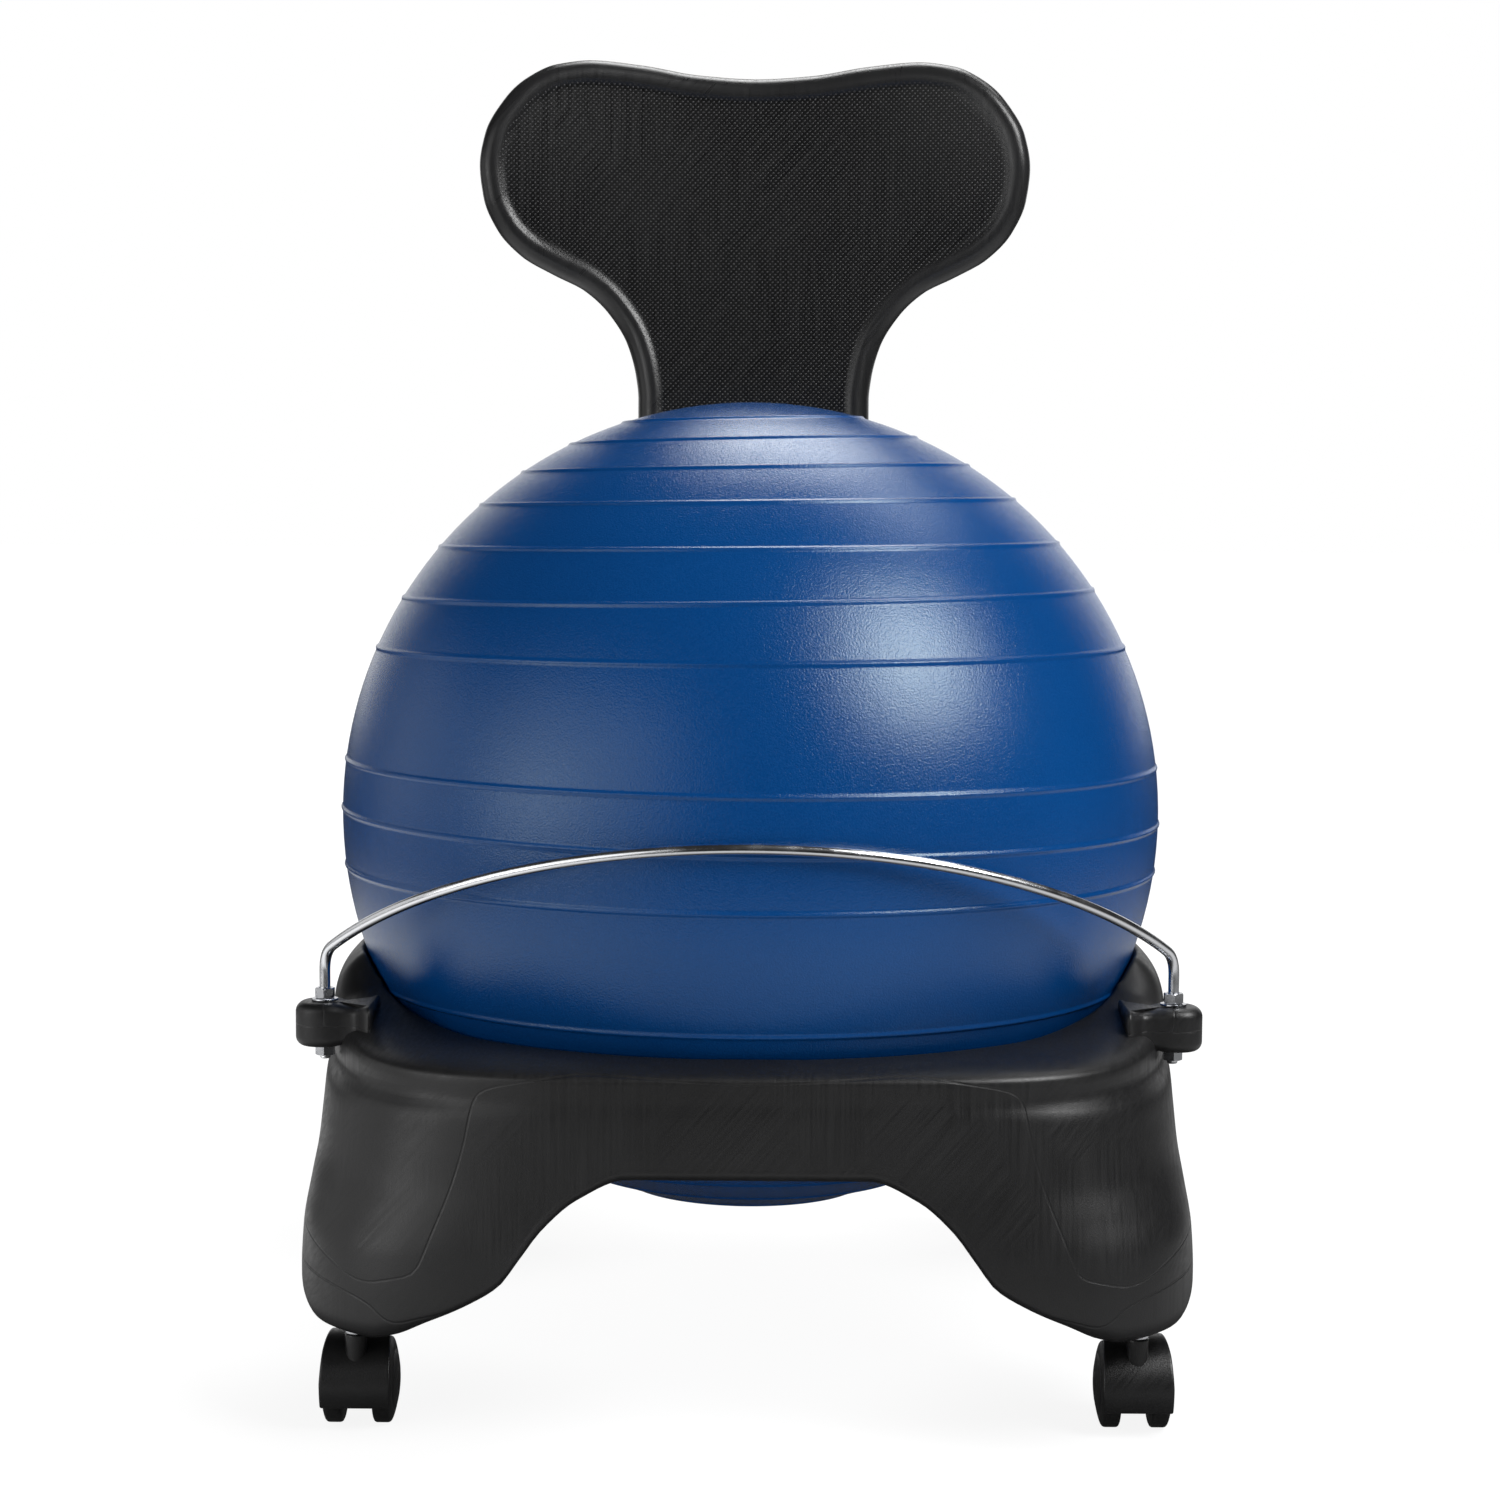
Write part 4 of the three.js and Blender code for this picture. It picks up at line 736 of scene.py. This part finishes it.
# Retaining bar: a steel rod, bent and chrome-plated, that keeps the ball in its seat. Its ends are
# threaded, pass down through the ears and are clamped by a nut, a washer and a second nut below.
def plated_metal(name, tone, shade, rough, metallic=1.0):
    """Plated steel: a bright and a duller tone drift over it, with faint rubbing in its bump."""
    made, tree, place = new_finish(name)
    tree.nodes["Principled BSDF"].inputs["Metallic"].default_value = metallic
    drift, rub = noise(tree, place, 60.0, 4.0), noise(tree, place, 700.0, 2.0)
    return dressed(made, blend(tree, drift, shade, tone), drift, rough * 0.7, rough * 1.4,
                   rub, 0.05, 0.0002)


def swept_tube(route, radius, sides):
    """A round bar along a route: rings square to it, radius (cos(turn) side + sin(turn) up)."""
    ahead = np.gradient(route, axis=0)
    ahead /= np.linalg.norm(ahead, axis=1, keepdims=True)
    up = np.cross(ahead, np.array([0.0, 0.53, 0.85]))
    up /= np.linalg.norm(up, axis=1, keepdims=True)
    side = np.cross(up, ahead)
    turn = np.arange(sides) * (2 * math.pi / sides)
    ring = np.cos(turn)[:, None] * side[:, None] + np.sin(turn)[:, None] * up[:, None]
    return skin(route[:, None] + ring * np.reshape(radius, (-1, 1, 1)))


bar_radius, bar_low = 0.00325, ear_low - 0.0088
bar_bend_z, bar_front_z, bar_bend = ear_high + 0.0295, ball_z + 0.005, 0.011
bar_front_y = ball_middle.y - (ball_radius + ring_height + 0.0005 + bar_radius)
forward, rise = ear_y - bar_front_y, bar_front_z - bar_bend_z
sagitta = math.hypot(forward, rise)
arc_radius = (ear_x ** 2 + sagitta ** 2) / (2 * sagitta)
arc_half, bend_turn = math.asin(ear_x / arc_radius), bar_bend / arc_radius


def on_arc(angle):
    """A point of the leaning arc in front of the ball, that many radians from its middle."""
    along = arc_radius * np.cos(angle) - (arc_radius - sagitta)
    return np.stack([arc_radius * np.sin(angle), ear_y - along * forward / sagitta,
                     bar_bend_z + along * rise / sagitta], axis=-1)


thread_rows, thread_long = 43, 0.0105
upright_end = np.array([ear_x, ear_y, bar_bend_z - bar_bend])
bend = corner_curve([upright_end], [on_arc(arc_half)], [on_arc(arc_half - bend_turn)], 12)[0][1:-1]
upright_z = np.concatenate([bar_low + np.linspace(0, thread_long, thread_rows),
                            np.linspace(bar_low + thread_long + 0.0005, upright_end[2], 12)])
upright = np.stack([np.full_like(upright_z, ear_x), np.full_like(upright_z, ear_y), upright_z], axis=-1)
half_route = np.concatenate([upright, bend, on_arc(np.linspace(arc_half - bend_turn, 0, 70))])
radius = np.full(len(half_route), bar_radius)
radius[:thread_rows] -= 0.00012 + 0.00016 * (np.arange(thread_rows) % 4 >= 2)
radius[:3] = (0.0, 0.0026, 0.0029)
route = np.concatenate([half_route, (half_route * (-1, 1, 1))[-2::-1]])
radius = np.concatenate([radius, radius[-2::-1]])
chrome = plated_metal("chrome", (0.94, 0.95, 0.97), (0.84, 0.85, 0.88), 0.22)
piece("retaining_bar_rod", [swept_tube(route, radius, 28)], chrome, "frame", ["retaining_bar"])


def standing_in(node, axis):
    """Where a CAD node starts along an axis, in the middle of its other two sides, and its length."""
    low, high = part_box(node)
    start, i = (low + high) / 2, "xyz".index(axis)
    start[i] = low[i]
    return start, high[i] - low[i]


def add_washer(node, bore, rim, axis):
    """A flat ring with softened edges in place of a washer's node."""
    start, thick = standing_in(node, axis)
    radii = [bore, rim - 0.0004, rim - 0.0001, rim, rim, rim - 0.0001, rim - 0.0004, bore]
    heights = [0, 0, 0.0001, 0.0004, thick - 0.0004, thick - 0.0001, thick, thick]
    piece(node + "_disc", [turned(radii, heights, start, axis, 64, True)], zinc, "frame",
          [node], sharp=40)


zinc = plated_metal("zinc", (0.66, 0.67, 0.69), (0.50, 0.51, 0.54), 0.24)
hex_columns, nut_bore, nut_half = 72, 0.0034, 0.0055
hex_turn = np.arange(hex_columns) * (2 * math.pi / hex_columns)
from_flat = np.cos((hex_turn + math.pi / 6) % (math.pi / 3) - math.pi / 6)
chamfer = np.array([0, 0.0, 0.0001, 0.0002, 0.0003, 0.00045, 0.0006])
for word in ("left", "right"):
    for node in (f"bar_nut_upper_{word}", f"bar_nut_lower_{word}"):
        start, tall = standing_in(node, "z")
        wall = np.minimum(nut_half / from_flat, 0.0054 + chamfer[:, None] * 1.73)
        wall[0] = np.minimum(wall[0], 0.0052)
        bore = nut_bore + np.array([0.0003, 0.0003, 0, 0, 0.0003])
        rows_r = np.concatenate([wall, wall[::-1], np.repeat(bore[:, None], hex_columns, axis=1)])
        rows_z = np.concatenate([chamfer, tall - chamfer[::-1],
                                 [tall, tall - 0.0001, tall - 0.0004, 0.0004, 0.0001]])
        piece(node + "_hex", [turned(rows_r, rows_z, start, "z", hex_columns, True)], zinc,
              "frame", [node], sharp=28)
    add_washer(f"bar_washer_{word}", 0.0035, 0.0080, "z")


# Backrest bolts: two socket-head bolts pass a washer and the pocket's back wall and turn in brass
# inserts that are moulded into the neck.
brass = plated_metal("brass", (0.62, 0.44, 0.18), (0.50, 0.34, 0.13), 0.3)
for word in ("left", "right"):
    node = f"backrest_bolt_{word}"
    start, deep = standing_in(node, "y")
    key = 0.0029 / from_flat
    threads = np.arange(0.0014, deep - 0.0052, 0.00035)
    shank_r = np.concatenate([[0.0, 0.0030, 0.0039], 0.0039 - 0.0004 * (np.arange(len(threads)) % 2)])
    head_r = [0.0040, 0.0068, 0.0074, 0.0075, 0.0075, 0.0073, 0.0068]
    rows_r = np.repeat(np.concatenate([shank_r, head_r])[:, None], hex_columns, axis=1)
    rows_r = np.concatenate([rows_r, [key + 0.0003, key, key, 0 * key]])
    rows_y = np.concatenate([[0.0, 0.0, 0.0010], threads, deep - np.array([
        0.0050, 0.0050, 0.0047, 0.0040, 0.0009, 0.0003, 0.0, 0.0, 0.0003, 0.0030, 0.0032])])
    piece(node + "_body", [turned(rows_r, rows_y, start, "y", hex_columns)], zinc,
          "frame", [node], sharp=35)
    add_washer(f"backrest_washer_{word}", 0.0043, 0.0090, "y")
    node = f"backrest_insert_{word}"
    start, long = standing_in(node, "y")
    knurl = 0.0064 - 0.0005 * (np.arange(33) % 8 == 7)
    rows_r = np.concatenate([[0.0042, 0.0058], knurl, [0.0058, 0.0042]])
    rows_y = np.concatenate([[0, 0], np.linspace(0.0006, long - 0.0006, 33), [long, long]])
    piece(node + "_sleeve", [turned(rows_r, rows_y, start, "y", 48, True)], brass,
          "frame", [node], sharp=40)


# Casters: a nylon hood over two wheels turns on a steel stem that is pressed into a plastic socket
# in the foot. The axle goes through the hood's web. The rear ones have a lever as a brake.
def carried(route, half_across, half_up, corner, steps, columns=6):
    """A bar with rounded edges that lies across the caster, carried along a route. At d from either
    end all its sides draw in by corner (1 - sqrt(1 - (1 - d / corner)^2)), so its ends are round."""
    across = np.array([1.0, 0.0, 0.0])
    run = np.concatenate([[0], np.cumsum(np.linalg.norm(np.diff(route, axis=0), axis=1))])
    soft = corner * (1 - np.cos(np.linspace(0, math.pi / 2, columns)))
    along = np.concatenate([soft, np.linspace(corner, run[-1] - corner, steps)[1:-1],
                            run[-1] - soft[::-1]])
    centre = np.stack([np.interp(along, run, row) for row in route.T], axis=1)
    ahead = np.stack([np.interp(along, run, row) for row in np.gradient(route, axis=0).T], axis=1)
    up = np.cross(ahead, across)
    up /= np.linalg.norm(up, axis=1, keepdims=True)
    near = np.minimum(np.minimum(along, run[-1] - along) / corner, 1)
    draw = 0.98 * corner * (1 - np.sqrt(1 - (1 - near) ** 2))
    a = np.interp(along / run[-1], np.linspace(0, 1, len(half_across)), half_across) - draw
    b = np.full_like(a, half_up) - draw
    left = np.minimum(corner - draw, b)
    turn = np.linspace(0, math.pi / 2, columns)[:, None]
    flat = np.array([0.0, 0.5, 0.85, 0.97])[:, None]
    quarter_a = np.concatenate([flat * (a - left), a - left + left * np.sin(turn)])
    quarter_b = np.concatenate([np.repeat(b[None], 4, axis=0), b - left + left * np.cos(turn)])
    ring_a = np.concatenate([quarter_a, quarter_a[::-1], -quarter_a[1:], -quarter_a[::-1][:-1]])
    ring_b = np.concatenate([quarter_b, -quarter_b[::-1], -quarter_b[1:], quarter_b[::-1][:-1]])
    return skin(centre[:, None] + ring_a.T[:, :, None] * across + ring_b.T[:, :, None] * up[:, None])


wheel_radius, axle_back, band_away = 0.025, 0.018, (0.0269 + 0.0293) / 2
lever_away, lever_degrees, lever_long = 0.0328, 146.0, 0.0150
caster_plastic = moulded_plastic("caster_plastic", (0.0045, 0.0045, 0.0048), (0.0085, 0.0085, 0.0088),
                                 0.38, 0.5, 0.4, 0.0)
wheel_plastic = moulded_plastic("wheel_plastic", (0.0050, 0.0050, 0.0052), (0.0085, 0.0085, 0.0088),
                                0.46, 0.6, 0.2, 0.0)
stem_steel = plated_metal("stem_steel", (0.84, 0.85, 0.87), (0.70, 0.71, 0.74), 0.38, 0.55)
socket_plastic = moulded_plastic("socket_plastic", (0.0060, 0.0060, 0.0063), (0.0105, 0.0105, 0.0110),
                                 0.52, 0.4, 0.2, 0.0)


def around_axle(radius, degrees):
    """Points about the axle in the stem's frame, counted from the front upwards, in metres."""
    angle = np.radians(degrees)
    return np.stack([np.zeros_like(angle), axle_back - radius * np.cos(angle),
                     wheel_radius + radius * np.sin(angle)], axis=-1)


def crosswise(radii, inset, half, centre, columns):
    """A round pin across the caster, alike at both ends. Its radii stand those insets from an end,
    and half is half its length. These three are in millimetres."""
    radii, along = np.array(radii) / 1000, (np.array(inset) - half) / 1000
    return turned(np.concatenate([radii, radii[::-1]]), np.concatenate([along, -along[::-1]]), centre,
                  "x", columns)


def millimetres(*values):
    """The same numbers in metres."""
    return np.array(values) / 1000


axle_at = np.array([0, axle_back, wheel_radius])
lever_pin = around_axle(lever_away, np.array(lever_degrees))
boss_r = millimetres(0, 4, 5, 5.4, 6, 6.4, 6.6, 6.55, 6.2, 4.4, 4.1, 4.1, 0)
boss_z = millimetres(33, 33, 33.2, 36, 45, 52, 56.6, 57.3, 57.6, 57.7, 57.4, 37.4, 37.4)
stem_r = millimetres(0, 3.4, 3.9, 4, 4, 5.6, 6, 6.1, 6.1, 6, 5.6, 5.5, 5.5, 5.2, 5, 5, 5.2, 5.5, 5.5,
                     4.8, 3.6, 0)
stem_z = millimetres(37.7, 37.7, 38, 38.6, 58, 58, 58.2, 58.6, 60.4, 60.8, 61, 61.2, 78, 78.2, 78.4,
                     80.2, 80.4, 80.6, 84.3, 85.6, 86.3, 86.3)
socket_r = millimetres(5.6, 10.2, 10.4, 10.5, 10.4, 8.2, 8, 8, 7.8, 5.6)
socket_z = millimetres(61.3, 61.3, 61.4, 61.8, 62.3, 62.3, 62.6, 89.8, 90.3, 90.3)
wheel_r = millimetres(0, 4, 16, 17, 17.6, 22.4, 23.6, 24.5, 24.9, 25, 25, 25, 24.9, 24.5, 23.8, 22.8, 21,
                      18.4, 17.9, 17.6, 17.3, 16.6, 14, 11, 8, 7.3, 7.0, 6.7, 6.2, 3.4, 0)
wheel_x = millimetres(9, 9, 9, 9.3, 9, 9, 9.15, 9.6, 10.3, 11, 14, 16.8, 17.6, 18.4, 18.95, 19.4, 20,
                      20.7, 20.6, 20.45, 20.65, 21.1, 21.7, 22.3, 22.7, 22.7, 22.5, 22.6,
                      22.9, 23.1, 23.2)
for caster in ("front_left", "front_right", "rear_left", "rear_right"):
    low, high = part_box(f"caster_stem_{caster}")
    stem = np.array([(low.x + high.x) / 2, (low.y + high.y) / 2, 0.0])
    braked = caster.startswith("rear")
    last = 142 if braked else 128
    degrees = np.linspace(-20, last, 80)
    band_half = np.interp(degrees, [-20, 10, 50, 90, 128], millimetres(20.3, 20.7, 19.8, 18, 17))
    band, web = around_axle(band_away, degrees), around_axle(0.0190, np.linspace(-16, last - 3, 60))
    surfaces = [carried(band, band_half, 0.0012, 0.0012, 70), carried(web, [0.0076], 0.0088, 0.0010, 50),
                crosswise([0, 15, 16.5, 17.3], [0, 0, 0.2, 1], 7.6, axle_at, 64),
                turned(boss_r, boss_z, (0, 0, 0), "z")]
    for side in (-1, 1) if braked else ():
        root = around_axle(np.linspace(0.0285, lever_away, 20), np.linspace(140.0, lever_degrees, 20))
        cheek_at = lever_pin + (side * 0.00875, 0, 0)
        surfaces += [crosswise([0, 3.4, 4.1, 4.2], [0, 0, 0.2, 0.7], 2.25, cheek_at, 40),
                     carried(root + (side * 0.0088, 0, 0), [0.0021], 0.0030, 0.0008, 12)]
    surfaces = [(points + stem, faces) for points, faces in surfaces]
    piece(f"caster_{caster}_hood", surfaces, caster_plastic, f"caster_{caster}",
          [f"caster_hood_{caster}"], no_seam_on(surfaces), sharp=50)
    piece(f"caster_{caster}_stem", [turned(stem_r, stem_z, stem, "z")], stem_steel, "frame",
          [f"caster_stem_{caster}"], sharp=40)
    surfaces = [turned(socket_r, socket_z, stem, "z", 48, True)]
    piece(f"caster_{caster}_socket", surfaces, socket_plastic, "frame",
          [f"caster_socket_{caster}"], no_seam_on(surfaces), sharp=40)
    axle = crosswise([0, 2.3, 2.8, 3], [0, 0, 0.2, 0.7], 17, stem + axle_at, 32)
    piece(f"caster_{caster}_axle", [axle], zinc, f"caster_{caster}",
          [f"caster_axle_{caster}"], sharp=40)
    for side, word in ((-1, "left"), (1, "right")):
        surfaces = [turned(wheel_r, wheel_x * side, stem + axle_at, "x", 96)]
        piece(f"wheel_{caster}_{word}_disc", surfaces, wheel_plastic, f"wheel_{caster}_{word}",
              [f"caster_wheel_{caster}_{word}"], no_seam_on(surfaces))
    if braked:
        slope = math.pi / 2 - math.radians(lever_degrees)
        reach = np.linspace(0, lever_long, 30)[:, None]
        lever_route = lever_pin + reach * (0, math.cos(slope), math.sin(slope))
        surfaces = [carried(lever_route, [0.0060, 0.0060, 0.0058], 0.0015, 0.0011, 24),
                    crosswise([0, 3.1, 3.5], [0, 0, 0.4], 6, lever_pin, 40),
                    crosswise([0, 1.7, 2], [0, 0, 0.3], 9, lever_pin, 32)]
        surfaces = [(points + stem, faces) for points, faces in surfaces]
        piece(f"brake_{caster}_lever", surfaces, caster_plastic, f"brake_{caster}",
              [f"brake_lever_{caster}"], no_seam_on(surfaces), sharp=50)
